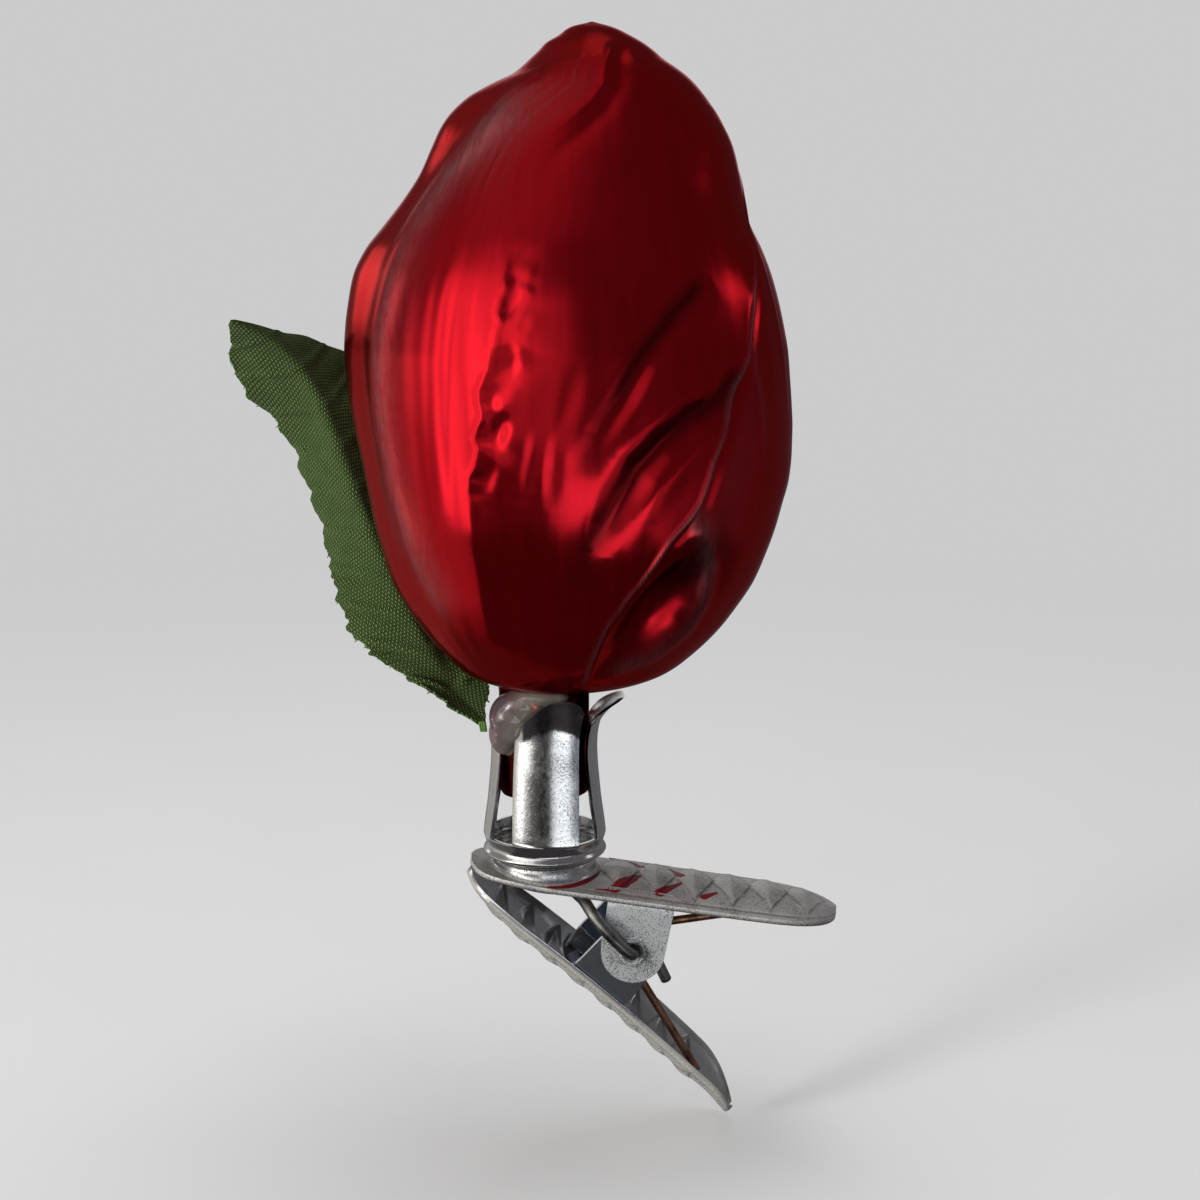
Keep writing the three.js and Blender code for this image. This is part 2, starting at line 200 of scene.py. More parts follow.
def tube(path, radius, sides=16, caps=4):
    """Round wire along a dense path, ends rounded over."""
    p = np.asarray(path, float)
    t = unit(np.gradient(p, axis=0))
    r = np.broadcast_to(np.asarray(radius, float), (len(p),)).copy()
    normal = unit(np.cross(t[0], [0.3, 0.9, 0.31]))
    rings = []
    frames = []
    for i in range(len(p)):
        normal = unit(normal - t[i] * (normal @ t[i]))
        frames.append((normal, np.cross(t[i], normal)))
    a = np.linspace(0, 2 * math.pi, sides, endpoint=False)

    def ring(c, f, rad):
        return c + rad * (np.cos(a)[:, None] * f[0] + np.sin(a)[:, None] * f[1])

    for k in range(caps, 0, -1):
        q = k / (caps + 0.25) * math.pi / 2
        rings.append(ring(p[0] - t[0] * r[0] * 0.45 * math.sin(q), frames[0], r[0] * math.cos(q)))
    for i in range(len(p)):
        rings.append(ring(p[i], frames[i], r[i]))
    for k in range(1, caps + 1):
        q = k / (caps + 0.25) * math.pi / 2
        rings.append(ring(p[-1] + t[-1] * r[-1] * 0.45 * math.sin(q), frames[-1], r[-1] * math.cos(q)))
    rings = np.array(rings)
    n = len(rings)
    faces = grid_faces(n, sides, wrap_v=True, flip=True)
    faces.append(list(range(sides)))
    faces.append([(n - 1) * sides + j for j in range(sides)][::-1])
    v = rings.reshape(-1, 3)
    c = rings[n // 2].mean(0)
    f = faces[(n // 2) * sides]
    nn = np.cross(v[f[1]] - v[f[0]], v[f[2]] - v[f[0]])
    if nn @ (v[f].mean(0) - c) < 0:
        faces = [q[::-1] for q in faces]
    return v, faces


def resample(points, step):
    p = np.asarray(points, float)
    s = np.concatenate([[0], np.cumsum(np.linalg.norm(np.diff(p, axis=0), axis=1))])
    n = max(2, int(round(s[-1] / step)) + 1)
    at = np.linspace(0, s[-1], n)
    return np.stack([np.interp(at, s, p[:, k]) for k in range(3)], 1)


def lathe(profile, segments, centre):
    """Closed shell of revolution from (r, z) rows that start and end on the axis."""
    prof = np.array(profile, float)
    a = np.linspace(0, 2 * math.pi, segments, endpoint=False)
    verts, faces = [], []
    body = prof[1:-1]
    for r, z in body:
        verts += [(centre[0] + r * math.cos(q), centre[1] + r * math.sin(q), z) for q in a]
    n = len(body)
    faces += grid_faces(n, segments, wrap_v=True)
    lo, hi = len(verts), len(verts) + 1
    verts += [(centre[0], centre[1], prof[0][1]), (centre[0], centre[1], prof[-1][1])]
    for j in range(segments):
        k = (j + 1) % segments
        faces.append([lo, j, k])
        faces.append([hi, (n - 1) * segments + k, (n - 1) * segments + j])
    v = np.array(verts)
    f = faces[0]
    nn = np.cross(v[f[1]] - v[f[0]], v[f[2]] - v[f[0]])
    d = v[f].mean(0) - np.array([centre[0], centre[1], v[f].mean(0)[2]])
    if nn @ d < 0:
        faces = [q[::-1] for q in faces]
    return v, faces


def modifier(ob, kind, **kw):
    m = ob.modifiers.new(kind.title(), kind)
    for k, v in kw.items():
        setattr(m, k, v)
    return m


def apply_modifiers(ob):
    dg = bpy.context.evaluated_depsgraph_get()
    me = bpy.data.meshes.new_from_object(ob.evaluated_get(dg))
    old = ob.data
    ob.modifiers.clear()
    ob.data = me
    bpy.data.meshes.remove(old)
    return ob


def soft_edges(ob, width, angle=50, segments=2):
    modifier(ob, "BEVEL", width=width * MM, segments=segments, limit_method="ANGLE",
             angle_limit=math.radians(angle), harden_normals=False)
    return apply_modifiers(ob)


def point_attribute(ob, name, values):
    values = np.asarray(values, np.float32)
    kind = "FLOAT_VECTOR" if values.ndim == 2 else "FLOAT"
    a = ob.data.attributes.new(name, kind, "POINT")
    a.data.foreach_set("vector" if values.ndim == 2 else "value", values.ravel())


# ---------------------------------------------------------------- materials
class Shader:
    def __init__(self, name):
        self.mat = bpy.data.materials.new(name)
        self.mat.use_nodes = True
        self.tree = self.mat.node_tree
        self.tree.nodes.clear()
        self.out = self.node("ShaderNodeOutputMaterial")

    def node(self, kind, props=None, **inputs):
        n = self.tree.nodes.new(kind)
        for k, v in (props or {}).items():
            setattr(n, k, v)
        for k, v in inputs.items():
            self.put(n, k.replace("_", " "), v)
        return n

    def put(self, n, socket, v):
        s = n.inputs[socket] if not isinstance(socket, int) else n.inputs[socket]
        if isinstance(v, bpy.types.NodeSocket):
            self.tree.links.new(v, s)
        elif isinstance(v, bpy.types.Node):
            self.tree.links.new(v.outputs[0], s)
        else:
            s.default_value = v

    def math(self, op, a, b=None, clamp=False):
        n = self.node("ShaderNodeMath", {"operation": op, "use_clamp": clamp})
        self.put(n, 0, a)
        if b is not None:
            self.put(n, 1, b)
        return n.outputs[0]

    def range(self, v, a, b, c, d):
        n = self.node("ShaderNodeMapRange", {"interpolation_type": "SMOOTHSTEP"})
        for k, x in (("Value", v), ("From Min", a), ("From Max", b), ("To Min", c), ("To Max", d)):
            self.put(n, k, x)
        return n.outputs[0]

    def mix(self, f, a, b, blend="MIX"):
        n = self.node("ShaderNodeMix", {"data_type": "RGBA", "blend_type": blend})
        self.put(n, 0, f)
        self.put(n, 6, a)
        self.put(n, 7, b)
        return n.outputs[2]

    def scaled(self, coords, scale):
        n = self.node("ShaderNodeMapping")
        self.put(n, "Vector", coords)
        n.inputs["Scale"].default_value = scale if isinstance(scale, (tuple, list)) else (scale,) * 3
        return n.outputs[0]

    def noise(self, coords, scale, detail=3, rough=0.55, distortion=0.0):
        n = self.node("ShaderNodeTexNoise", Scale=scale, Detail=detail, Roughness=rough, Distortion=distortion)
        self.put(n, "Vector", coords)
        return n.outputs[0]

    def objects(self):
        return self.node("ShaderNodeTexCoord").outputs["Object"]

    def attribute(self, name, fac=False):
        n = self.node("ShaderNodeAttribute", {"attribute_name": name})
        return n.outputs["Fac" if fac else "Vector"]

    def bump(self, height, strength, distance, normal=None):
        n = self.node("ShaderNodeBump")
        self.put(n, "Height", height)
        n.inputs["Strength"].default_value = strength
        n.inputs["Distance"].default_value = distance
        if normal is not None:
            self.put(n, "Normal", normal)
        return n.outputs[0]

    def principled(self, **inputs):
        n = self.node("ShaderNodeBsdfPrincipled")
        for k, v in inputs.items():
            self.put(n, k.replace("_", " "), v)
        self.tree.links.new(n.outputs[0], self.out.inputs[0])
        return n


def red_lacquer():
    s = Shader("red_lacquer")
    obj = s.objects()
    streak = s.attribute("streak")
    lines = s.noise(streak, 1.1, 5, 0.6)
    wide = s.noise(streak, 0.32, 3, 0.5)
    grain = s.noise(obj, 5200, 2, 0.5)
    cloud = s.noise(obj, 120, 3, 0.5)
    dust = s.noise(s.scaled(streak, (1, 1, 3)), 2.6, 4, 0.6)
    col = s.mix(s.range(lines, 0.3, 0.7, 0, 1), (0.48, 0.0030, 0.011, 1), (0.54, 0.0042, 0.014, 1))
    col = s.mix(s.range(cloud, 0.35, 0.75, 0, 0.35), col, (0.40, 0.003, 0.006, 1))
    # painted shade: the colour darkens to near-black red along the folds and in the hollow
    col = s.mix(s.math("MULTIPLY", s.attribute("pooled", fac=True), 0.86), col, (0.085, 0.0006, 0.0018, 1))
    # pale greyish-pink, rougher tone along ridges, lips and the right petal: partly worn, dusty lacquer, partly painted
    # sheen
    worn = s.math("MULTIPLY", s.attribute("wear_and_sheen", fac=True), s.range(dust, 0.25, 0.65, 0.45, 1.0))
    col = s.mix(s.math("MULTIPLY", worn, 0.75), col, (0.30, 0.155, 0.16, 1))
    # painted shade: below the foot of the bud, on the pike inside the cup, the colour turns near black
    height = s.node("ShaderNodeSeparateXYZ")
    s.put(height, 0, obj)
    col = s.mix(s.range(height.outputs[2], 0.0186, 0.0200, 0, 1), (0.06, 0.002, 0.004, 1), col)
    rough = s.math("ADD", s.range(lines, 0.3, 0.7, 0.13, 0.17), s.range(wide, 0.3, 0.7, -0.01, 0.025))
    rough = s.math("ADD", rough, s.math("MULTIPLY", worn, 0.30))
    b = s.bump(lines, 0.012, 0.0003)
    b = s.bump(grain, 0.03, 0.00006, b)
    s.principled(Base_Color=col, Metallic=0.965, Roughness=rough, Normal=b, Specular_Tint=(0.60, 0.12, 0.15, 1),
                 Coat_Weight=0.12, Coat_Roughness=0.18)
    return s.mat


def tin(name, speck=0.3, satin=0.0, drip=False, brush=0.0, two_sided=False, tone=(0.55, 0.54, 0.52, 1), bare=(0.84, 0.845, 0.84, 1),
        cluster=0.0, gloss=0.0, painted_dark_reflection=False):
    """Bright tin plate: fine dark specks, faint smudges; satin where its outer side is worn dull; where asked, a
    painted dark reflection in blotches.
    """
    s = Shader(name)
    obj = s.objects()
    cloud = s.noise(obj, 190, 4, 0.6)
    fine = s.noise(obj, 4200, 3, 0.6)
    grain = s.noise(s.scaled(obj, (1.0, 1.0, 0.45 if brush else 1.0)), 11000, 2, 0.6)
    dots = s.noise(obj, 8200, 2, 0.5)
    patch = s.noise(obj, 620, 3, 0.6)
    col = s.mix(s.range(cloud, 0.35, 0.7, 0, 1), bare, tuple(0.9 * c for c in bare[:3]) + (1,))
    smudge = s.noise(obj, 380, 5, 0.65, 0.6)
    col = s.mix(s.range(smudge, 0.58, 0.76, 0, 0.40), col, (0.46, 0.43, 0.375, 1))
    # painted dark reflection, in blotches, where the mesh marks it
    if painted_dark_reflection:
        blotch = s.range(s.noise(s.scaled(obj, (1.0, 1.0, 0.4)), 2600, 4, 0.7), 0.3, 0.7, 0.62, 1.0)
        col = s.mix(s.math("MULTIPLY", s.attribute("painted_dark_reflection", fac=True), s.math("MULTIPLY", blotch, 0.97)), col, (0.055, 0.054, 0.054, 1))
    level = s.math("ADD", dots, s.math("MULTIPLY", s.math("SUBTRACT", patch, 0.5), 0.32))
    if cluster:
        level = s.math("ADD", level, s.math("MULTIPLY", s.attribute("darkening", fac=True), cluster))
    dark = s.range(level, 0.66 - 0.10 * speck, 0.74 - 0.09 * speck, 0, 0.45 + 0.4 * speck)
    col = s.mix(dark, col, (0.055, 0.060, 0.075, 1))
    rough = s.math("ADD", s.range(fine, 0.3, 0.7, 0.11 + 0.05 * speck - gloss, 0.17 + 0.12 * speck - 1.6 * gloss), s.math("MULTIPLY", dark, 0.2))
    b = s.bump(grain, (0.06 + 0.10 * speck) * (1 - 0.6 * brush), 0.00003)
    if brush:
        b = s.bump(s.noise(s.scaled(obj, (1.0, 1.0, 0.5)), 3000, 4, 0.72), 0.30 * brush, 0.00004, b)
    b = s.bump(s.math("ADD", fine, s.math("MULTIPLY", patch, 0.8)), 0.05, 0.0001, b)
    b = s.bump(s.math("SUBTRACT", 1.0, dark), 0.10, 0.00004, b)
    metal = 1.0
    if satin:
        f = s.math("MULTIPLY", s.attribute("outer", fac=True), satin) if two_sided else satin
        hair = s.noise(s.scaled(obj, (420, 3000, 3000)), 1.0, 4, 0.65, 0.4)
        worn = s.mix(s.range(hair, 0.58, 0.70, 0, 0.7), tone, (0.20, 0.19, 0.18, 1))
        worn = s.mix(s.range(s.noise(obj, 300, 4, 0.6), 0.4, 0.7, 0, 0.5), worn, tuple(0.86 * c for c in tone[:3]) + (1,))
        if two_sided:
            # darker where the mesh marks it, broken up by noise: along the creases between the stamped diamonds and
            # beside the plate's border
            darkening_mask = s.math("MULTIPLY", s.attribute("darkening", fac=True), s.range(s.noise(obj, 900, 4, 0.65), 0.28, 0.60, 0.10, 0.90))
            worn = s.mix(darkening_mask, worn, (0.13, 0.12, 0.11, 1))
        if cluster:
            worn = s.mix(s.range(s.attribute("darkening", fac=True), 0.84, 0.97, 0, 0.7), worn, (0.12, 0.13, 0.15, 1))
        worn = s.mix(dark, worn, (0.10, 0.095, 0.09, 1))
        col = s.mix(f, col, worn)
        metal = s.math("SUBTRACT", 1.0, s.math("MULTIPLY", f, 0.55))
        rough = s.math("ADD", rough, s.math("MULTIPLY", f, 0.20))
    if drip:
        d = s.attribute("drip", fac=True)
        edge = s.math("ADD", d, s.math("MULTIPLY", s.math("SUBTRACT", s.noise(obj, 2600, 3, 0.6), 0.5), 0.16))
        g = s.range(edge, 0.45, 0.55, 0, 1)
        col = s.mix(g, col, (0.20, 0.004, 0.012, 1))
        metal = s.math("MULTIPLY", metal, s.range(g, 0.0, 1.0, 1.0, 0.2))
        rough = s.math("ADD", rough, s.math("MULTIPLY", g, 0.10))
        b = s.bump(g, 0.25, 0.00006, b)
    s.principled(Base_Color=col, Metallic=metal, Roughness=rough, Normal=b)
    return s.mat


def wire_metal(name, light, dark, rough):
    s = Shader(name)
    obj = s.objects()
    a = s.noise(obj, 700, 4, 0.6)
    f = s.noise(obj, 3500, 3, 0.6)
    col = s.mix(s.range(a, 0.38, 0.68, 0, 1), light, dark)
    col = s.mix(s.range(f, 0.62, 0.72, 0, 0.7), col, tuple(0.35 * c for c in dark[:3]) + (1,))
    b = s.bump(f, 0.08, 0.00008)
    s.principled(Base_Color=col, Metallic=1.0, Roughness=s.range(f, 0.3, 0.7, rough, rough + 0.16), Normal=b)
    return s.mat


def woven(name):
    s = Shader(name)
    uv = s.node("ShaderNodeUVMap", {"uv_map": "cloth"}).outputs[0]
    warp = s.noise(uv, 0.35, 3, 0.6)
    sep = s.node("ShaderNodeSeparateXYZ")
    s.put(sep, 0, uv)
    jitter = s.noise(uv, 1.1, 2, 0.5)
    u = s.math("ADD", s.math("MULTIPLY", sep.outputs[0], math.pi / 0.195), s.math("MULTIPLY", jitter, 1.1))
    v = s.math("ADD", s.math("MULTIPLY", sep.outputs[1], math.pi / 0.38), s.math("MULTIPLY", jitter, -0.9))
    su, sv = s.math("SINE", u), s.math("SINE", v)
    prod = s.math("MULTIPLY", su, sv)
    pillow = s.math("POWER", s.math("ABSOLUTE", prod), 0.55)
    which = s.range(prod, -0.2, 0.2, 0, 1)
    fibre = s.noise(s.scaled(uv, (9.0, 9.0, 9.0)), 1.0, 3, 0.6)
    # painted shade in the weave's hollows: the recessed thread set is much darker than the raised one, and the gaps
    # between threads are near black
    thread = s.mix(which, (0.018, 0.040, 0.009, 1), (0.120, 0.190, 0.060, 1))
    thread = s.mix(s.range(fibre, 0.45, 0.8, 0, 0.5), thread, (0.150, 0.200, 0.090, 1))
    thread = s.mix(s.range(warp, 0.4, 0.75, 0, 0.4), thread, (0.030, 0.066, 0.014, 1))
    col = s.mix(s.range(pillow, 0.12, 0.62, 0, 1), (0.002, 0.005, 0.001, 1), thread)
    b = s.bump(s.math("ADD", pillow, s.math("MULTIPLY", prod, 0.6)), 0.9, 0.00018)
    b = s.bump(fibre, 0.15, 0.00006, b)
    s.principled(Base_Color=col, Metallic=0.0, Roughness=s.range(fibre, 0.3, 0.7, 0.72, 0.92), Normal=b,
                 Sheen_Weight=0.06, Sheen_Roughness=0.5, Sheen_Tint=(0.6, 0.75, 0.35, 1), Specular_IOR_Level=0.3)
    return s.mat


def fray_mat():
    s = Shader("green_fray")
    obj = s.objects()
    n = s.noise(obj, 1500, 2, 0.5)
    col = s.mix(s.range(n, 0.3, 0.7, 0, 1), (0.045, 0.115, 0.022, 1), (0.10, 0.20, 0.05, 1))
    s.principled(Base_Color=col, Roughness=s.range(n, 0.3, 0.7, 0.7, 0.9))
    return s.mat


def glue():
    """Milky clear glue; towards the left and the top its colour is painted dark purple, a painted stand-in for the
    lacquer seen through it.
    """
    s = Shader("clear_glue")
    obj = s.objects()
    sep = s.node("ShaderNodeSeparateXYZ")
    s.put(sep, 0, obj)
    n = s.noise(obj, 330, 3, 0.5)
    f = s.noise(obj, 1400, 2, 0.5)
    # painted see-through colour: dark purple to the left and up, cream to the right and down
    side = s.math("ADD", s.math("SUBTRACT", sep.outputs[0], s.math("MULTIPLY", sep.outputs[2], 0.35)), s.math("MULTIPLY", n, 0.003))
    col = s.mix(s.range(side, -0.0015, 0.0022, 0, 1), (0.22, 0.135, 0.165, 1), (0.52, 0.50, 0.42, 1))
    col = s.mix(s.range(f, 0.5, 0.75, 0, 0.35), col, (0.30, 0.25, 0.24, 1))
    b = s.bump(n, 0.10, 0.0004)
    s.principled(Base_Color=col, Roughness=s.range(n, 0.3, 0.7, 0.07, 0.12), Normal=b, IOR=1.48, Transmission_Weight=0.78,
                 Coat_Weight=0.5, Coat_Roughness=0.05)
    return s.mat


def ground_glow(span):
    """Light and dark ground as the shiny pieces mirror it, laid out by direction and distance from the bud."""
    s = Shader("ground_glow")
    sep = s.node("ShaderNodeSeparateXYZ")
    s.put(sep, 0, s.objects())
    x = s.math("SUBTRACT", sep.outputs[0], 0.0106)
    y = s.math("MULTIPLY", sep.outputs[1], -1.0)
    far = s.math("MULTIPLY", s.math("SQRT", s.math("ADD", s.math("MULTIPLY", x, x), s.math("MULTIPLY", y, y))), 1000.0)
    az = s.math("MULTIPLY", s.math("ARCTAN2", x, y), 57.2958)

    def up(v, a, b):
        return s.range(v, a, b, 0, 1) if a < b else s.range(v, b, a, 1, 0)

    def both(*f):
        out = f[0]
        for g in f[1:]:
            out = s.math("MULTIPLY", out, g)
        return out

    ahead = both(up(az, -76, -62), up(az, 125, 95))
    lean = s.math("MULTIPLY", s.math("MINIMUM", s.math("SUBTRACT", az, 5.0), 0.0), 0.48)
    near = s.math("ADD", s.math("ADD", far, lean), s.math("MULTIPLY", both(up(az, 14, 22), up(az, 62, 50)), 14.0))
    col = s.mix(both(up(az, -172, -140), up(az, -62, -80)), (0.13, 0.126, 0.135, 1), (0.36, 0.345, 0.33, 1))
    col = s.mix(both(up(az, -125, -100), up(az, -62, -76)), col, (0.50, 0.47, 0.42, 1))
    col = s.mix(both(up(az, -60, -45), up(az, 4, -10)), col, (0.09, 0.087, 0.085, 1))
    col = s.mix(both(up(az, -60, -45), up(az, 10, -6), up(far, 215, 330)), col, (0.46, 0.45, 0.44, 1))
    col = s.mix(both(up(az, 12, 24), up(az, 60, 42), up(far, 120, 135), up(far, 480, 330)), col, (0.46, 0.49, 0.53, 1))
    col = s.mix(both(up(az, -15, -5), up(az, 30, 18), up(far, 320, 230)), col, (1.5, 1.55, 1.62, 1))
    edge = s.math("ADD", az, s.math("DIVIDE", 4800.0, s.math("MAXIMUM", far, 40.0)))
    pane = both(up(az, -88, -66), up(edge, -26, -40), up(near, 126, 142))
    col = s.mix(pane, col, (1.30, 1.25, 1.21, 1))
    col = s.mix(both(pane, up(az, -81, -69), up(az, -56, -65)), col, (2.1, 2.02, 1.95, 1))
    col = s.mix(both(pane, up(az, -55, -49), up(az, -37, -44)), col, (2.6, 2.5, 2.4, 1))
    col = s.mix(up(far, 85, 50), col, (0.10, 0.095, 0.092, 1))
    col = s.mix(both(ahead, up(near, 140, 132)), col, (0.040, 0.036, 0.037, 1))
    glow = s.node("ShaderNodeEmission", Strength=1.0)
    s.put(glow, "Color", col)
    s.tree.links.new(glow.outputs[0], s.out.inputs[0])
    return s.mat


def pale_floor():
    """Matt near the object, fading into the backdrop's own tone further out."""
    s = Shader("pale_floor")
    obj = s.objects()
    n = s.noise(obj, 40, 3, 0.5)
    col = s.mix(n, (0.60, 0.60, 0.60, 1), (0.63, 0.63, 0.63, 1))
    near = s.principled(Base_Color=col, Roughness=0.95, Specular_IOR_Level=0.05, Emission_Color=(0.96, 0.98, 1.0, 1), Emission_Strength=0.22)
    far = s.node("ShaderNodeEmission", Color=BACKDROP, Strength=1.0)
    length = s.node("ShaderNodeVectorMath", {"operation": "LENGTH"})
    s.put(length, 0, obj)
    mix = s.node("ShaderNodeMixShader")
    s.put(mix, 0, s.range(length.outputs["Value"], 0.05, 0.42, 0, 1))
    s.put(mix, 1, near.outputs[0])
    s.put(mix, 2, far.outputs[0])
    s.tree.links.new(mix.outputs[0], s.out.inputs[0])
    return s.mat


# ================================================================ glass bud
# height: left and right outline
BUD_OUTLINE = [
    (8.2, 3.15, 12.25), (16.4, 3.15, 12.25), (18.5, 3.14, 12.27), (18.9, 3.12, 12.4), (19.25, 3.1, 13.3), (19.55, 3.0, 15.2), (19.8, 2.7, 16.65),
    (20.05, 1.85, 17.8), (20.4, 0.9, 18.9), (21.1, -0.5, 20.45), (22.7, -2.13, 22.6), (25.3, -4.3, 25.28), (27.8, -6.05, 27.15), (30.3, -7.4, 28.71),
    (32.9, -8.14, 29.77), (35.4, -8.78, 30.62), (37.9, -9.22, 31.27), (40.4, -9.65, 31.91), (42.8, -10.09, 32.16),
    (45.3, -10.62, 32.21), (47.7, -11.05, 32.06), (50.2, -11.28, 31.82), (52.6, -11.41, 31.58), (55.0, -11.25, 31.15),
    (57.4, -10.9, 30.62), (59.8, -10.36, 29.9), (62.2, -9.14, 28.89), (64.5, -7.26, 27.7), (66.9, -5.28, 26.89),
    (69.2, -3.7, 26.48), (71.6, -2.61, 25.97), (73.9, -1.52, 24.98), (76.2, 0.61, 23.53), (77.6, 3.19, 22.37),
    (78.4, 5.0, 21.51), (79.1, 5.95, 20.56), (79.8, 6.72, 19.51), (80.6, 7.58, 18.56), (81.3, 8.24, 17.61),
    (82.0, 9.38, 16.37), (82.8, 10.52, 14.6), (83.3, 12.45, 12.75),
]
BUD_AXIS = [
    (8.2, 7.7), (18.5, 7.7), (18.9, 7.78), (19.25, 8.3), (19.55, 9.1), (19.8, 9.6), (20.05, 9.8), (20.4, 9.9), (22.7, 10.2), (27.8, 10.5), (37.9, 10.8),
    (47.7, 10.6), (57.4, 10.4), (66.9, 10.9), (71.6, 11.6), (76.2, 12.1), (79.8, 12.5), (83.3, 12.6),
]
BUD_DEPTH = [
    (8.2, 4.55), (18.5, 4.55), (18.9, 4.65), (19.25, 5.0), (19.55, 5.8), (19.8, 7.0), (20.05, 8.0), (20.4, 9.0), (21.1, 10.5), (22.7, 12.4), (25.3, 14.8),
    (27.8, 16.6), (32.9, 18.95), (37.9, 20.3), (42.8, 21.1), (47.7, 21.5), (52.6, 21.4), (57.4, 20.6), (62.2, 19.0),
    (66.9, 16.6), (71.6, 13.8), (76.2, 10.5), (79.8, 6.6), (81.3, 4.6), (82.4, 2.7), (83.3, 0.15),
]

# Petal edges and folds as (azimuth from the front, height); azimuth grows to the right.
LEFT_PETAL_EDGE = [
    (24.3, 81.3), (17.0, 79.8), (11.8, 78.4), (10.0, 76.6), (3.9, 75.0), (-3.6, 73.5), (-11.2, 71.9), (-15.2, 70.6), (-17.2, 68.7),
    (-17.5, 66.8), (-16.3, 64.9), (-15.0, 63.0), (-15.2, 61.1), (-15.3, 58.7), (-16.2, 56.8), (-15.7, 55.6), (-16.6, 53.2),
    (-18.4, 51.5), (-20.0, 49.8), (-19.9, 47.6), (-21.6, 45.5), (-23.6, 42.3), (-24.4, 40.6), (-24.8, 38.6), (-24.8, 36.6),
    (-24.4, 32.8), (-25.4, 27.8), (-29.5, 22.5),
]
LEFT_PETAL_RIDGE = [
    (-28.1, 78.9), (-34.5, 77.1), (-37.5, 73.8), (-43.5, 71.4), (-48.8, 68.7), (-50.2, 66.1), (-49.6, 63.3), (-49.8, 59.2),
    (-51.4, 55.4), (-52.7, 51.0), (-53.3, 46.7), (-53.0, 41.0), (-49.7, 35.9), (-44.8, 31.2), (-39.9, 25.1),
]
FRONT_PETAL_EDGE = [
    (128, 77.0), (112, 74.0), (97, 70.6), (85.1, 67.8), (75.5, 65.4), (66.5, 63.0), (59.7, 59.8), (52.8, 55.7), (48.8, 52.2), (44.2, 49.7),
    (40.6, 46.8), (36.8, 43.6), (35.3, 41.6), (33.7, 39.8), (30.7, 38.2), (26.0, 36.4), (22.4, 34.1), (16.4, 31.1), (12.2, 28.5),
    (10.5, 26.4), (9.6, 24.3), (9.0, 21.5),
]
FOLD_UPPER = [(40.3, 59.2), (38.3, 58.8), (27.2, 55.8), (18.7, 52.5), (13.1, 49.3), (7.4, 46.3), (3.0, 42.5)]
FOLD_LOWER = [(47.2, 52.2), (45.4, 51.4), (39.2, 48.9), (29.0, 47.3), (21.9, 45.3), (16.5, 43.2), (13.0, 40.9), (8.8, 38.1), (5.7, 35.8), (3.0, 31.8)]
RIDGE_BETWEEN = [(40.0, 51.0), (37.0, 50.2), (28.4, 48.8), (20.2, 46.6), (13.2, 43.7), (9.6, 40.2)]
RIDGE_LOWER = [(38.5, 48.0), (35.8, 46.9), (28.4, 44.0), (21.7, 41.4), (18.0, 38.6), (16.5, 36.0)]
FAN_FOLDS = [[(-5.7, 39.0), (-3.5, 45.0), (0.2, 49.3), (4.3, 53.6)], [(-12.0, 38.5), (-9.5, 43.0), (-6.0, 48.0), (-3.5, 52.0)]]
DIMPLE_RIM = [(29.6, 39.1), (32.8, 38.3), (37.4, 35.8), (41.4, 32.7), (42.8, 29.8), (41.6, 27.6), (36.7, 25.8), (30.2, 24.2), (22.2, 23.2), (15.7, 22.2)]
RIGHT_LINES = [[(55.0, 60.0), (52.7, 55.2), (53.3, 51.0), (55.3, 48.6), (56.2, 44.9), (56.0, 42.0)], [(74.0, 64.4), (70.0, 59.0), (70.5, 52.0), (73.0, 46.0)]]
BACK_EDGE = [(-150, 78.5), (-164, 76.2), (-180, 72.4), (-190, 66.5), (-196, 58.0), (-200, 48.0), (-205, 38.0), (-196, 30.0), (-180, 23.0)]
SIDE_EDGE = [(-84, 78.0), (-96, 75.6), (-110, 71.0), (-120, 64.5), (-126, 55.0), (-131, 45.0), (-134, 36.0), (-124, 29.0), (-108, 22.5)]
BACK_FOLDS = [
    ([(-215, 60), (-228, 53), (-238, 45), (-244, 38)], -0.50, 1.3), ([(-210, 47), (-224, 41), (-234, 34), (-240, 28)], -0.55, 1.4),
    ([(-148, 62), (-158, 52), (-163, 40), (-165, 31)], -0.45, 1.4), ([(-140, 66), (-150, 56), (-154, 46)], 0.30, 1.6),
    ([(-250, 62), (-254, 50), (-250, 38)], 0.28, 2.2), ([(-172, 54), (-178, 42), (-176, 30)], 0.32, 1.7),
    ([(-104, 62), (-112, 50), (-116, 38)], -0.40, 1.5),
]

bud_left, bud_right = pchip(BUD_OUTLINE, 1), pchip(BUD_OUTLINE, 2)
bud_axis, bud_depth = pchip(BUD_AXIS), pchip(BUD_DEPTH)


def bud_point(az, z):
    """Base surface of the bud: outline to left and right, round towards front and back."""
    s, c = np.sin(az), np.cos(az)
    cx = bud_axis(z)
    side = np.where(s >= 0, bud_right(z) - cx, cx - bud_left(z))
    rho = bud_depth(z) * c * c + side * s * s
    return np.stack([cx + rho * s, -rho * c, z + 0 * s], -1)


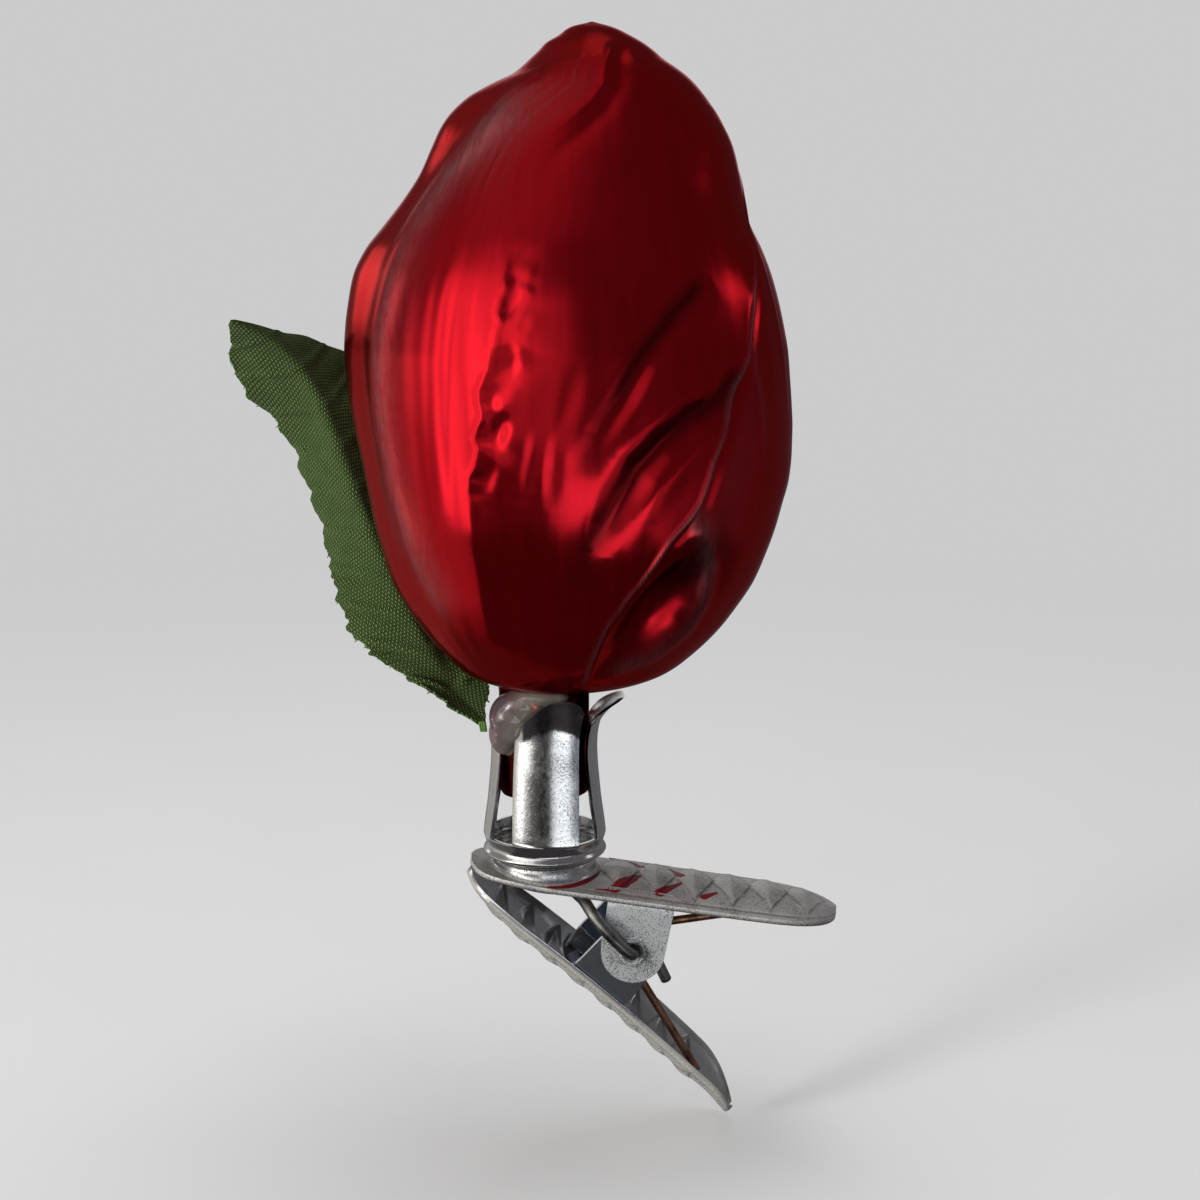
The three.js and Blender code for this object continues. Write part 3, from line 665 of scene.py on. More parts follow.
def along_curve(az_deg, z, curve):
    """Signed distance (mm, positive to the right of a falling curve) and share of its length, for every point."""
    pts = np.array(curve, float)
    mid = pts[:, 0].mean()
    a = (az_deg - mid + 180) % 360 - 180 + mid
    scale = np.maximum(bud_depth(z), 2.5) * math.pi / 180
    u = (a - mid) * scale
    cu = (pts[:, 0] - mid) * np.maximum(bud_depth(pts[:, 1]), 2.5) * math.pi / 180
    cv = pts[:, 1]
    seg = np.hypot(np.diff(cu), np.diff(cv))
    start = np.concatenate([[0], np.cumsum(seg)])
    best = np.full(u.shape, 1e9)
    sign = np.ones(u.shape)
    share = np.zeros(u.shape)
    for i in range(len(seg)):
        du, dv = cu[i + 1] - cu[i], cv[i + 1] - cv[i]
        t = np.clip(((u - cu[i]) * du + (z - cv[i]) * dv) / seg[i] ** 2, 0, 1)
        d = np.hypot(u - cu[i] - t * du, z - cv[i] - t * dv)
        cross = du * (z - cv[i]) - dv * (u - cu[i])
        closer = d < best
        best = np.where(closer, d, best)
        sign = np.where(closer, np.sign(cross), sign)
        share = np.where(closer, (start[i] + t * seg[i]) / start[-1], share)
    return best * sign, share


def overlap(d, height, length, ramp=0.55, lip=0.22, groove=0.25, lip_width=0.36):
    """Relief of a petal lying over the next one: raised where d > 0, dropping at its edge."""
    step = smooth(-1.0, 0.35, d / ramp)
    body = height * step * np.exp(-np.maximum(d, 0) / length) * smooth(13.0, 7.0, d)
    roll = lip * np.exp(-((d - 0.25) / lip_width) ** 2)
    foot = -groove * np.exp(-((d + 0.7 * ramp + 0.35) / 0.85) ** 2)
    return body + roll + foot


def taper(t, a=0.1, b=0.1):
    return smooth(0, a, t) * smooth(0, b, 1 - t)


def fold(az, z, curve, height, width, a=0.25, b=0.25):
    d, t = along_curve(az, z, curve)
    return height * np.exp(-(d / width) ** 2) * taper(t, a, b)


def spot(az, z, a0, z0, width):
    r = np.maximum(bud_depth(z0), 3) * math.pi / 180
    return np.exp(-(((az - a0) * r) ** 2 + (z - z0) ** 2) / width ** 2)


def table(*rows):
    return pchip(rows)


def bud_relief(az, z):
    """Height of the petals over the base surface; a pale worn tone with painted sheen along ridges, lips and the right
    petal; and painted shade along the folds and in the hollow.
    """
    out = np.zeros(az.shape)
    # pale tone along ridges, lips and the right petal: partly wear and dust, partly painted sheen
    wear_and_sheen = np.zeros(az.shape)
    pooled = np.zeros(az.shape)
    low = smooth(81.0, 77.5, z)
    # left petal over the front one: soft above, ragged in the middle, only a crease below
    d, t = along_curve(az, z, LEFT_PETAL_EDGE)
    d = -d
    ragged = smooth(0.335, 0.40, t) * smooth(0.74, 0.68, t)
    shift = (0.30 * wobble(z, 0 * z, 0 * z, 2.4, 3, 2) + 0.12 * wobble(z, 0 * z, 0 * z, 0.9, 4, 1)) * ragged
    out += overlap(d + shift,
                   table((0, 0.15), (0.06, 0.17), (0.2, 0.14), (0.34, 0.14), (0.5, 0.13), (0.66, 0.15), (0.74, 0.04), (0.8, 0), (1, 0))(t), 6.0,
                   table((0, 0.5), (0.12, 1.7), (0.3, 2.8), (0.37, 1.2), (0.68, 1.1), (1, 1.0))(t),
                   table((0, 0.2), (0.1, 0.10), (0.2, 0.02), (0.33, 0.0), (0.39, 0.06), (0.67, 0.07), (0.72, 0), (1, 0))(t),
                   table((0, 0.1), (0.12, 0.12), (0.3, 0.0), (0.4, 0.02), (0.68, 0.03), (0.75, 0.0), (1, 0))(t)) * smooth(0, 0.03, t)
    arris = np.sqrt(d * d + 0.06) - 0.245
    out += 0.58 * smooth(0.62, 0.80, t) * smooth(1.0, 0.92, t) * np.exp(-arris / np.where(d > 0, 2.9, 3.6)) * smooth(11, 5, np.abs(d))
    lumps = wobble(az * 0.36, z, 0 * z, 3.0, 11, 2)
    out += 0.075 * lumps * np.exp(-((d + 1.5) / 1.3) ** 2) * ragged
    for a0, z0, h, w in ((-15.0, 59.0, 0.04, 0.5), (-10.9, 58.7, 0.06, 0.5), (-9.2, 58.5, 0.05, 0.45), (-13.6, 57.2, -0.15, 0.85),
                         (-12.9, 52.2, -0.22, 1.15), (-16.4, 46.6, -0.19, 1.1), (-9.2, 54.6, 0.12, 1.6), (-15.5, 48.6, 0.11, 0.9),
                         (-17.0, 43.4, 0.11, 1.2), (-23.6, 41.0, -0.07, 0.6)):
        out += h * spot(az, z, a0, z0, w)
    # long soft draws in the left petal
    for a0, w, h in ((-28.4, 0.55, -0.05), (-32.0, 0.9, 0.035), (-34.6, 0.6, -0.035), (-23.5, 0.7, 0.03), (-38.5, 0.9, -0.035), (-43.0, 0.8, 0.03)):
        line = (az - a0 - 2.2 * np.sin((z - 52) / 13.0)) * 0.36
        out += h * np.exp(-(line / w) ** 2) * smooth(36, 44, z) * smooth(66, 58, z)
    # fine ribs where its upper end sweeps to the tip
    sweep = smooth(63, 71, z) * smooth(81, 78, z) * smooth(0.3, 1.5, d) * smooth(8.5, 6.0, d)
    ribs = np.sin(d * 4.1 + 1.1 * np.sin(d * 1.7 + 1) + 0.12 * z) * np.sin(d * 1.1 + 0.6 + 0.05 * z)
    out += 0.022 * ribs * sweep
    wear_and_sheen += (0.16 * np.clip(ribs, 0, 1) + 0.10) * sweep
    # its shoulder, rolled towards the left
    d, t = along_curve(az, z, LEFT_PETAL_RIDGE)
    out += (0.46 * np.exp(-(d / 1.7) ** 2) - 0.28 * np.exp(-((d + 4.3) / 2.6) ** 2)) * taper(t, 0.12, 0.3)
    wear_and_sheen += (0.45 * np.exp(-((d + 0.1) / 1.1) ** 2) + 0.40 * np.exp(-((d - 0.4) / 2.8) ** 2)) * taper(t, 0.1, 0.12)
    wear_and_sheen += 0.38 * np.exp(-((d - 0.6) / 2.0) ** 2) * smooth(62.0, 66.5, z) * smooth(76.0, 72.0, z)
    # front petal over the right one, with a thin rolled lip
    d, t = along_curve(az, z, FRONT_PETAL_EDGE)
    strength = table((0, 0), (0.16, 0.5), (0.35, 0.9), (0.6, 1.0), (0.85, 0.95), (0.95, 0.6), (1, 0.0))(t)
    out += strength * overlap(-d, 0.55, 6.5, 0.42, 0.24, 0.32, 0.30)
    wear_and_sheen += 0.95 * np.exp(-((-d - 0.2) / 0.34) ** 2) * taper(t, 0.2, 0.02)
    wear_and_sheen += 0.20 * smooth(0.8, 3.0, d) * smooth(17.0, 10.0, d) * smooth(33.0, 40.0, z + 0.5 * np.maximum(az - 36, 0))
    # its folds, spreading from the foot
    out += fold(az, z, FOLD_UPPER, -0.58, 1.1, 0.12, 0.45)
    out += fold(az, z, FOLD_LOWER, -0.50, 1.5, 0.14, 0.58) + fold(az, z, FOLD_LOWER, -0.30, 1.4, 0.14, 0.30)
    out += fold(az, z, RIDGE_BETWEEN, 0.22, 1.1, 0.2, 0.4)
    out += fold(az, z, RIDGE_LOWER, 0.24, 1.2, 0.15, 0.4)
    out -= 0.05 * spot(az, z, 45.5, 59.3, 3.0)
    # painted shade along the upper-left walls of the two folds
    for curve, side, width, a, b in ((FOLD_UPPER, 0.7, 0.8, 0.10, 0.45), (FOLD_LOWER, 0.25, 1.1, 0.08, 0.20)):
        d, t = along_curve(az, z, curve)
        pooled = np.maximum(pooled, np.exp(-((d + side) / width) ** 2) * taper(t, a, b))
    for c in FAN_FOLDS:
        out += fold(az, z, c, -0.13, 0.85, 0.3, 0.4)
    # hollow at the foot of the right petal
    d, t = along_curve(az, z, DIMPLE_RIM)
    out += 0.42 * np.exp(-(d / 1.15) ** 2) * taper(t, 0.15, 0.25)
    wear_and_sheen += 0.80 * np.exp(-((d - 0.2) / 0.95) ** 2) * taper(t, 0.1, 0.1)
    r = bud_depth(30.6) * math.pi / 180
    p, q = (az - 27.6) * r, z - 29.3
    p, q = p * 0.87 - q * 0.5, p * 0.5 + q * 0.87
    out -= 2.1 * np.exp(-((p / 2.5) ** 2 + (q / 5.6) ** 2) ** 1.4)
    # painted shade in the upper part of the hollow
    pooled = np.maximum(pooled, np.exp(-((p / 2.0) ** 2 + ((q - 4.3) / 3.7) ** 2) ** 1.6))
    for c in RIGHT_LINES:
        out += fold(az, z, c, 0.07, 0.5)
        wear_and_sheen += 0.28 * fold(az, z, c, 1.0, 0.45)
    # petals round the back
    for curve, h in ((BACK_EDGE, 0.65), (SIDE_EDGE, 0.55)):
        d, t = along_curve(az, z, curve)
        out += taper(t, 0.14, 0.12) * overlap(d, h, 6.5, 0.42, 0.22, 0.30, 0.32) * low
        wear_and_sheen += 0.8 * np.exp(-((d - 0.2) / 0.36) ** 2) * taper(t, 0.12, 0.1) * low
    for curve, h, w in BACK_FOLDS:
        out += fold(az, z, curve, h, w)
    return out, np.clip(wear_and_sheen, 0, 1), pooled


def streaks(az, z):
    """Shallow lines that run from base to tip, as drawn in the mould."""
    r = np.random.default_rng(21)
    out = np.zeros(az.shape)
    a = np.radians(az)
    for _ in range(30):
        k = r.integers(12, 60)
        centre, spread = r.uniform(26, 76), r.uniform(9, 24)
        out += (r.uniform(0.4, 1.0) / (k / 30.0) ** 0.9
                * np.sin(k * a + r.uniform(0, 6.28) + 0.5 * np.sin(z / r.uniform(9, 20) + r.uniform(0, 6.28)))
                * np.exp(-((z - centre) / spread) ** 2))
    return out


def build_bud():
    n_az = 560
    zz = np.linspace(18.5, 83.3, 4000)
    arc = np.concatenate([[0], np.cumsum(np.hypot(np.diff(bud_depth(zz)), np.diff(zz)))])
    rows = np.interp(np.linspace(0, arc[-1], 342), arc, zz)[:-1]
    rows = np.concatenate([np.linspace(8.45, 18.4, 24), rows])
    az = np.linspace(-180, 180, n_az, endpoint=False)
    A, Z = np.meshgrid(az, rows)  # rows x azimuth
    base = bud_point(np.radians(A), Z)
    up = np.gradient(base, axis=0)
    round_ = np.roll(base, -1, axis=1) - np.roll(base, 1, axis=1)
    n = unit(np.cross(round_, up))
    on_bud = smooth(19.6, 23.5, Z) * smooth(83.2, 81.6, Z)
    relief, wear_and_sheen, pooled = bud_relief(A, Z)
    relief = relief * on_bud
    relief += 0.0045 * streaks(A, Z) * smooth(21, 27, Z) * smooth(80, 74, Z)
    relief += 0.10 * wobble(base[..., 0], base[..., 1], base[..., 2], 19, 5, 2) * on_bud
    P = base + n * relief[..., None]
    # inner side of the pike: a lip, the bore and its closed upper end
    rim = []
    for r, z in ((4.42, 8.27), (4.2, 8.2), (3.85, 8.22), (3.66, 8.4), (3.6, 9.5), (3.6, 16.2), (3.0, 17.0), (1.6, 17.3)):
        uneven = 0.06 * np.sin(3 * np.radians(az) + 1) + 0.04 * np.sin(7 * np.radians(az))
        rim.append(np.stack([7.7 + r * np.sin(np.radians(az)), -r * np.cos(np.radians(az)),
                             z + uneven * (1.0 if z < 8.6 else 0.0)], -1))
    P = np.concatenate([np.array(rim)[::-1], P], 0)
    n_rows = len(P)
    verts = np.vstack([P.reshape(-1, 3), [[7.7, 0, 17.35]], [[12.6, 0, 83.34]]])
    faces = grid_faces(n_rows, n_az, wrap_v=True, flip=True)
    lo, hi = n_rows * n_az, n_rows * n_az + 1
    top = (n_rows - 1) * n_az
    for j in range(n_az):
        k = (j + 1) % n_az
        faces.append([lo, j, k])
        faces.append([hi, top + k, top + j])
    f = faces[(n_rows // 2) * n_az]
    nn = np.cross(verts[f[1]] - verts[f[0]], verts[f[2]] - verts[f[0]])
    if nn @ (verts[f].mean(0) - [10.6, 0, verts[f].mean(0)[2]]) < 0:
        faces = [q[::-1] for q in faces]
    ob = make("rose_bud", verts, faces)
    a = np.arctan2(verts[:, 0] - 10.6, -verts[:, 1])
    point_attribute(ob, "streak", np.stack([21 * np.cos(a), 21 * np.sin(a), verts[:, 2] * 0.09], 1))
    for name, values in (("wear_and_sheen", wear_and_sheen), ("pooled", pooled)):
        point_attribute(ob, name, np.concatenate([np.zeros(len(rim) * n_az), (values * on_bud).ravel(), [0, 0]]))
    ob.data.materials.append(red_lacquer())
    return ob


# ================================================================ clip plates
SHEET = 0.5
PIVOT = (16.65, -7.06)
UPPER = (0.0, 0.35, math.radians(8.3))
LOWER = (0.9, -0.96, math.radians(41.3))
LOWER_START, LOWER_END = -1.2, 36.4
HALF_WIDTH = {"upper": 6.0, "lower": 5.1}
PLATE_WIDTH = pchip([
    (0, 0.06), (0.06, 0.17), (0.22, 0.29), (0.5, 0.42), (0.9, 0.55), (2.2, 0.74), (4, 0.87), (6, 0.95), (9, 1), (22, 1), (30, 0.97),
    (33.2, 0.91), (35.2, 0.79), (36.7, 0.6), (37.5, 0.4), (37.88, 0.22), (38, 0.06),
])
UPPER_ARCH = pchip([(0, 0.05), (2.5, 0.12), (8, 0.4), (13, 0.75), (17, 1), (30, 1), (35, 0.75), (38, 0.35)])
LOWER_ARCH = pchip([(0, 0.2), (3, 0.6), (8, 1), (30, 1), (35, 0.75), (38, 0.35)])


def place(frame_of, s, y, n):
    x0, z0, a = frame_of
    s, y, n = np.broadcast_arrays(np.asarray(s, float), np.asarray(y, float), np.asarray(n, float))
    return np.stack([x0 + s * math.cos(a) + n * math.sin(a), y, z0 - s * math.sin(a) + n * math.cos(a)], -1)


def local(frame_of, x, z):
    x0, z0, a = frame_of
    dx, dz = x - x0, z - z0
    return dx * math.cos(a) - dz * math.sin(a), dx * math.sin(a) + dz * math.cos(a)


def pillows(s, t, first, count, pitch, half, lip=1.0):
    """A row of stamped diamonds along the plate, 0..1 high, with a fine crease round each."""
    out = np.zeros(np.broadcast(s, t).shape)
    for k in range(count):
        q = ((np.abs(s - first - k * pitch) / (pitch * 0.52)) ** 1.25 + (np.abs(t) / half) ** 1.25) ** 0.8
        ridge = lip * np.where(s > first + k * pitch, 0.20, 0.07) * np.exp(-((q - 0.95) / 0.06) ** 2)
        out = np.maximum(out, np.clip(1 - q, 0, 1) ** 0.75 + ridge)
    return out


def creases(s, t, first, count, pitch, half):
    """1 along the lines between the stamped diamonds and beside the plate's border."""
    out = 0.8 * np.exp(-((np.abs(t) - 0.90) / 0.03) ** 2)
    for k in range(count):
        q = np.abs(s - first - k * pitch) / (pitch * 0.52) + np.abs(t) / half
        out = np.maximum(out, np.exp(-((q - 1.06) / 0.09) ** 2))
    return out


def upper_inside(s, t):
    flat = 1.12 * UPPER_ARCH(s) * (1 - np.abs(t) ** 2.4)
    nose = 0.5 * np.clip(1 - s / 2.6, 0, 1) ** 2
    border = -0.07 * np.exp(-((np.abs(t) - 0.875) / 0.022) ** 2)
    return (flat + nose * (1 - 0.3 * np.abs(t)) + 0.38 * pillows(s, t, 15.2, 6, 3.88, 0.76) * smooth(37.5, 33, s)
            + border * smooth(10.5, 13, s) * smooth(36, 34, s))


def lower_inside(s, t, stamped=0.9):
    along = s - LOWER_START
    bow = 0.7 * np.sin(math.pi * along / (LOWER_END - LOWER_START))
    lip = 0.3 * np.clip((2.4 - along) / 2.4, 0, 1) ** 1.5
    flare = -1.5 * np.clip((s - 31) / 5.4, 0, 1) ** 2
    return (bow + lip + flare - 1.75 * LOWER_ARCH(along) * (1 - np.abs(t) ** 2.4)
            - stamped * pillows(s, t, 3.4, 8, 3.7, 0.84, 0.4) * smooth(34, 31, s))


def ease_rows(n, a, b, length):
    """Rows along a plate, closer together at its two round ends."""
    u = np.linspace(0, 1, n)
    core = a + (b - a) * u
    end = np.array([0.0, 0.02, 0.06, 0.13, 0.22, 0.35, 0.5, 0.7, 0.9]) * length
    return np.unique(np.round(np.concatenate([core, a + end, b - end]), 4))


def plate_grid(which):
    if which == "upper":
        s = ease_rows(340, 0, 38, 1.0)
        k = PLATE_WIDTH(s) * HALF_WIDTH["upper"]
    else:
        s = ease_rows(320, LOWER_START, LOWER_END, 1.0)
        k = PLATE_WIDTH((s - LOWER_START) / (LOWER_END - LOWER_START) * 38) * HALF_WIDTH["lower"]
    t = np.linspace(-1, 1, 101)
    S, T = np.meshgrid(s, t, indexing="ij")
    Y = T * k[:, None]
    if which == "upper":
        low = upper_inside(S, T)
        return S, T, place(UPPER, S, Y, low + SHEET), place(UPPER, S, Y, low)
    top = lower_inside(S, T)
    return S, T, place(LOWER, S, Y, top), place(LOWER, S, Y, lower_inside(S, T, 0.45) - SHEET)


def ear(frame_of, side, y_out, x0, x1, root, round_, toward, bend, hole=0.85):
    """Flat ear with its pin hole, bent over at the root into the plate's edge.
    toward: +1 where the plate lies above the hinge in its own frame, -1 where below."""
    hs, hn = local(frame_of, *PIVOT)
    n_a, n_r = 128, 30
    a = np.linspace(0, 2 * math.pi, n_a, endpoint=False)
    reach = abs(root - hn) + 1.6  # a little past the root, for the bend
    d = np.stack([np.cos(a), np.sin(a)], 1)  # d[1] > 0 points towards the plate
    far = np.full(n_a, round_)
    for i, (c, sn) in enumerate(d):
        if sn > -0.18:
            # side lines from the round's widest points to the root's corners
            best = round_ if sn <= 0 else reach / sn
            for corner, start in ((x1 - hs, round_), (x0 - hs, -round_)):
                ex, ez = corner - start, reach
                den = c * ez - sn * ex
                if abs(den) > 1e-9:
                    w = (start * ez - 0 * ex) / den
                    if w > 0 and w * sn >= -1e-6:
                        best = min(best, w)
            far[i] = max(best, round_ * 0.9) if sn > 0 else round_
    rings = []
    for r in np.linspace(0, 1, n_r) ** 0.9:
        rings.append(hole + (far - hole) * r)
    R = np.array(rings)
    X = R * d[:, 0]
    H = R * d[:, 1]
    start = abs(root - hn) - bend["radius"] * 0.75  # height at which the bend begins

    def sheet(off):
        over = np.maximum(H - start, 0)
        rb = bend["radius"] - off
        q = np.clip(over / bend["radius"], 0, bend["angle"])
        rest = np.maximum(over - bend["radius"] * bend["angle"], 0)
        h = np.where(over > 0, start + rb * np.sin(q) + rest * np.cos(q), H)
        inward = np.where(over > 0, off + (bend["radius"] - off) - rb * np.cos(q) + rest * np.sin(q), off)
        if off == 0:
            inward = inward - 0.20 * np.exp(-((R - 1.16) / 0.18) ** 2)
        y = side * (y_out - inward)
        return place(frame_of, hs + X, y, hn + toward * h)

    outer, inner = sheet(0.0), sheet(SHEET)
    n = n_r * n_a
    faces = grid_faces(n_r, n_a, wrap_v=True)
    faces += [[i + n for i in f[::-1]] for f in grid_faces(n_r, n_a, wrap_v=True)]
    for j in range(n_a):
        k = (j + 1) % n_a
        faces.append([j, k, k + n, j + n])
        e = (n_r - 1) * n_a
        faces.append([e + k, e + j, e + j + n, e + k + n])
    v = np.vstack([outer.reshape(-1, 3), inner.reshape(-1, 3)])
    f = faces[5 * n_a]
    nn = np.cross(v[f[1]] - v[f[0]], v[f[2]] - v[f[0]])
    if nn @ np.array([0, side, 0]) < 0:
        faces = [q[::-1] for q in faces]
    return v, faces


DRIPS = [  # two ends of each run of lacquer, along and across the upper plate, and its half width at either end
    (14.8, -4.6, 17.2, -1.5, 0.62, 0.34), (15.5, -3.7, 16.7, -2.3, 0.74, 0.52), (12.9, -5.0, 14.6, -4.9, 0.09, 0.20),
    (19.4, -4.35, 21.5, -2.0, 0.56, 0.24), (23.9, -4.0, 25.2, -2.9, 0.42, 0.20), (16.4, 3.2, 17.6, 1.2, 0.26, 0.44),
    (20.5, 2.3, 21.6, 0.0, 0.24, 0.48),
]


def pale_edge_highlights(ob):
    """The sheared edges of the ears, as a material of their own, pale and bright: a painted highlight along each edge.
    """
    for face in ob.data.polygons:
        if face.material_index == 1 and abs(face.normal.y) < 0.45:
            face.material_index = 2


def build_upper_plate():
    S, T, top, bottom = plate_grid("upper")
    b = Build()
    b.add(*slab(top, bottom))
    # boss below the cup: round wall that flares into the plate
    a = np.linspace(0, 2 * math.pi, 96, endpoint=False)
    rows = []
    for r, w in ((1.5, 1.0), (4.4, 1.0), (4.85, 0.98), (5.1, 0.9), (5.22, 0.74), (5.25, 0.5), (5.27, 0.3), (5.36, 0.14), (5.6, 0.03), (5.85, -0.10)):
        x, y = 7.7 + r * np.cos(a), r * np.sin(a)
        s = x / math.cos(UPPER[2])
        hw = PLATE_WIDTH(s) * HALF_WIDTH["upper"]
        plate = 0.35 - s * math.sin(UPPER[2]) + upper_inside(s, np.clip(y / hw, -1, 1)) * math.cos(UPPER[2]) + SHEET
        rows.append(np.stack([x, y, plate + w * (1.45 - plate)], -1))
    outer = np.array(rows)
    inner = outer.copy()
    inner[..., 2] -= 0.45
    n_r, n_a = outer.shape[:2]
    n = n_r * n_a
    faces = grid_faces(n_r, n_a, wrap_v=True)
    faces += [[i + n for i in f[::-1]] for f in grid_faces(n_r, n_a, wrap_v=True)]
    for j in range(n_a):
        k = (j + 1) % n_a
        faces.append([j, k, k + n, j + n])
        e = (n_r - 1) * n_a
        faces.append([e + k, e + j, e + j + n, e + k + n])
    v = np.vstack([outer.reshape(-1, 3), inner.reshape(-1, 3)])
    f = faces[0]
    if np.cross(v[f[1]] - v[f[0]], v[f[2]] - v[f[0]])[2] < 0:
        faces = [q[::-1] for q in faces]
    b.add(v, faces)
    for side in (-1, 1):
        b.add(*ear(UPPER, side, HALF_WIDTH["upper"] - 0.06, 14.3, 21.1, 0.35, 3.2, 1, {"radius": 0.6, "angle": math.radians(60)}), 1)
    ob = b.object("upper_plate")
    soft_edges(ob, 0.09, 58)
    co = np.array([v.co for v in ob.data.vertices]) / MM
    s, n = local(UPPER, co[:, 0], co[:, 2])
    d = np.zeros(len(co))
    for s0, y0, s1, y1, w0, w1 in DRIPS:
        ds, dy = s1 - s0, y1 - y0
        q = np.clip(((s - s0) * ds + (co[:, 1] - y0) * dy) / (ds * ds + dy * dy), 0, 1)
        off = np.hypot(s - s0 - q * ds, co[:, 1] - y0 - q * dy)
        d = np.maximum(d, np.clip(1.0 - 0.5 * off / (w0 + (w1 - w0) * q), 0, 1))
    # a thin run round the foot of the boss
    r, a = np.hypot(co[:, 0] - 7.7, co[:, 1]), np.degrees(np.arctan2(co[:, 1], co[:, 0] - 7.7))
    q = np.clip((a + 92) / 84, 0, 1)
    run = np.clip(1.0 - 0.5 * np.abs(r - 5.72) / (0.05 + 0.20 * np.sin(math.pi * q) ** 0.7), 0, 1) * (q > 0) * (q < 1)
    d = np.maximum(d, run)
    half = np.maximum(PLATE_WIDTH(np.clip(s, 0, 38)) * HALF_WIDTH["upper"], 0.3)
    outer = (n > upper_inside(np.clip(s, 0, 38), np.clip(co[:, 1] / half, -1, 1)) + 0.5 * SHEET).astype(float)
    d *= outer
    across = np.clip(co[:, 1] / half, -1, 1)
    ears = np.zeros(len(co), bool)
    for face in ob.data.polygons:
        if face.material_index == 1:
            ears[list(face.vertices)] = True
    pale_edge_highlights(ob)
    hole = np.hypot(co[:, 0] - PIVOT[0], co[:, 2] - PIVOT[1])
    round_hole = np.maximum(0.75 * np.exp(-(hole / 2.4) ** 2), np.exp(-((hole - 1.5) / 0.09) ** 2))
    # ears: more dark specks near the pin hole and a dark ring round it; plate: darker along the creases and beside the
    # border
    point_attribute(ob, "darkening", np.where(ears, round_hole, creases(s, across, 15.2, 6, 3.88, 0.76) * smooth(12.4, 13.4, s)))
    boss = (r < 5.5) & (co[:, 2] > 0.35 - s * math.sin(UPPER[2]) + SHEET + 0.15)
    point_attribute(ob, "outer", np.where(boss, 0.0, outer))
    point_attribute(ob, "drip", d)
    ob.data.materials.append(tin("tin_plate", speck=1.0, satin=0.9, drip=True, two_sided=True))
    ob.data.materials.append(tin("tin_ear", speck=1.0, satin=0.50, brush=1.0, tone=(0.70, 0.79, 0.83, 1), cluster=0.15))
    ob.data.materials.append(tin("tin_upper_edge_highlight", speck=0.1, satin=0.85, tone=(0.86, 0.89, 0.91, 1)))
    return ob


def build_lower_plate():
    S, T, top, bottom = plate_grid("lower")
    b = Build()
    b.add(*slab(top, bottom))
    root = float(lower_inside(16.0, 0.98)) - 0.3
    for side in (-1, 1):
        b.add(*ear(LOWER, side, HALF_WIDTH["lower"] - 0.02, 12.5, 19.4, root, 3.15, -1, {"radius": 1.5, "angle": math.radians(55)}), 1)
    ob = b.object("lower_plate")
    soft_edges(ob, 0.15, 58)
    co = np.array([v.co for v in ob.data.vertices]) / MM
    s, n = local(LOWER, co[:, 0], co[:, 2])
    s = np.clip(s, LOWER_START, LOWER_END)
    half = np.maximum(PLATE_WIDTH((s - LOWER_START) / (LOWER_END - LOWER_START) * 38) * HALF_WIDTH["lower"], 0.3)
    # darker along the creases between the stamped diamonds and beside the border
    point_attribute(ob, "darkening", creases(s, np.clip(co[:, 1] / half, -1, 1), 3.4, 8, 3.7, 0.84))
    under = (n < lower_inside(s, np.clip(co[:, 1] / half, -1, 1), 0.58) - 0.5 * SHEET).astype(float)
    point_attribute(ob, "outer", np.maximum(under, 0.75 * smooth(20.0, 24.0, s)))
    ob.data.materials.append(tin("tin_lower_plate", speck=0.5, satin=0.9, two_sided=True, bare=(0.70, 0.71, 0.73, 1), gloss=0.07))
    pale_edge_highlights(ob)
    ob.data.materials.append(tin("tin_inner_ear", speck=0.4, satin=0.05, tone=(0.42, 0.47, 0.53, 1), bare=(0.64, 0.73, 0.82, 1), gloss=0.06))
    ob.data.materials.append(tin("tin_lower_edge_highlight", speck=0.1, satin=0.85, tone=(0.86, 0.89, 0.91, 1)))
    return ob


# ================================================================ collar, rivet
CUP_X = 7.7
PRONG_R = pchip([(3.05, 6.0), (3.4, 6.1), (3.7, 6.21), (3.9, 6.26), (4.4, 6.22), (8, 5.75), (13.0, 5.4), (15.4, 5.52), (16.8, 6.1), (17.9, 7.05), (18.3, 7.5)])
PRONG_FRONT_R = pchip([(3.05, 6.0), (3.4, 6.1), (3.7, 6.21), (3.9, 6.26), (4.3, 6.24), (5.2, 6.17), (8, 5.97), (11, 5.79), (14, 5.63), (15.6, 5.58), (16.6, 5.68), (17.6, 6.1), (18.5, 6.75), (19.3, 7.5)])
RING_TOP = 3.9


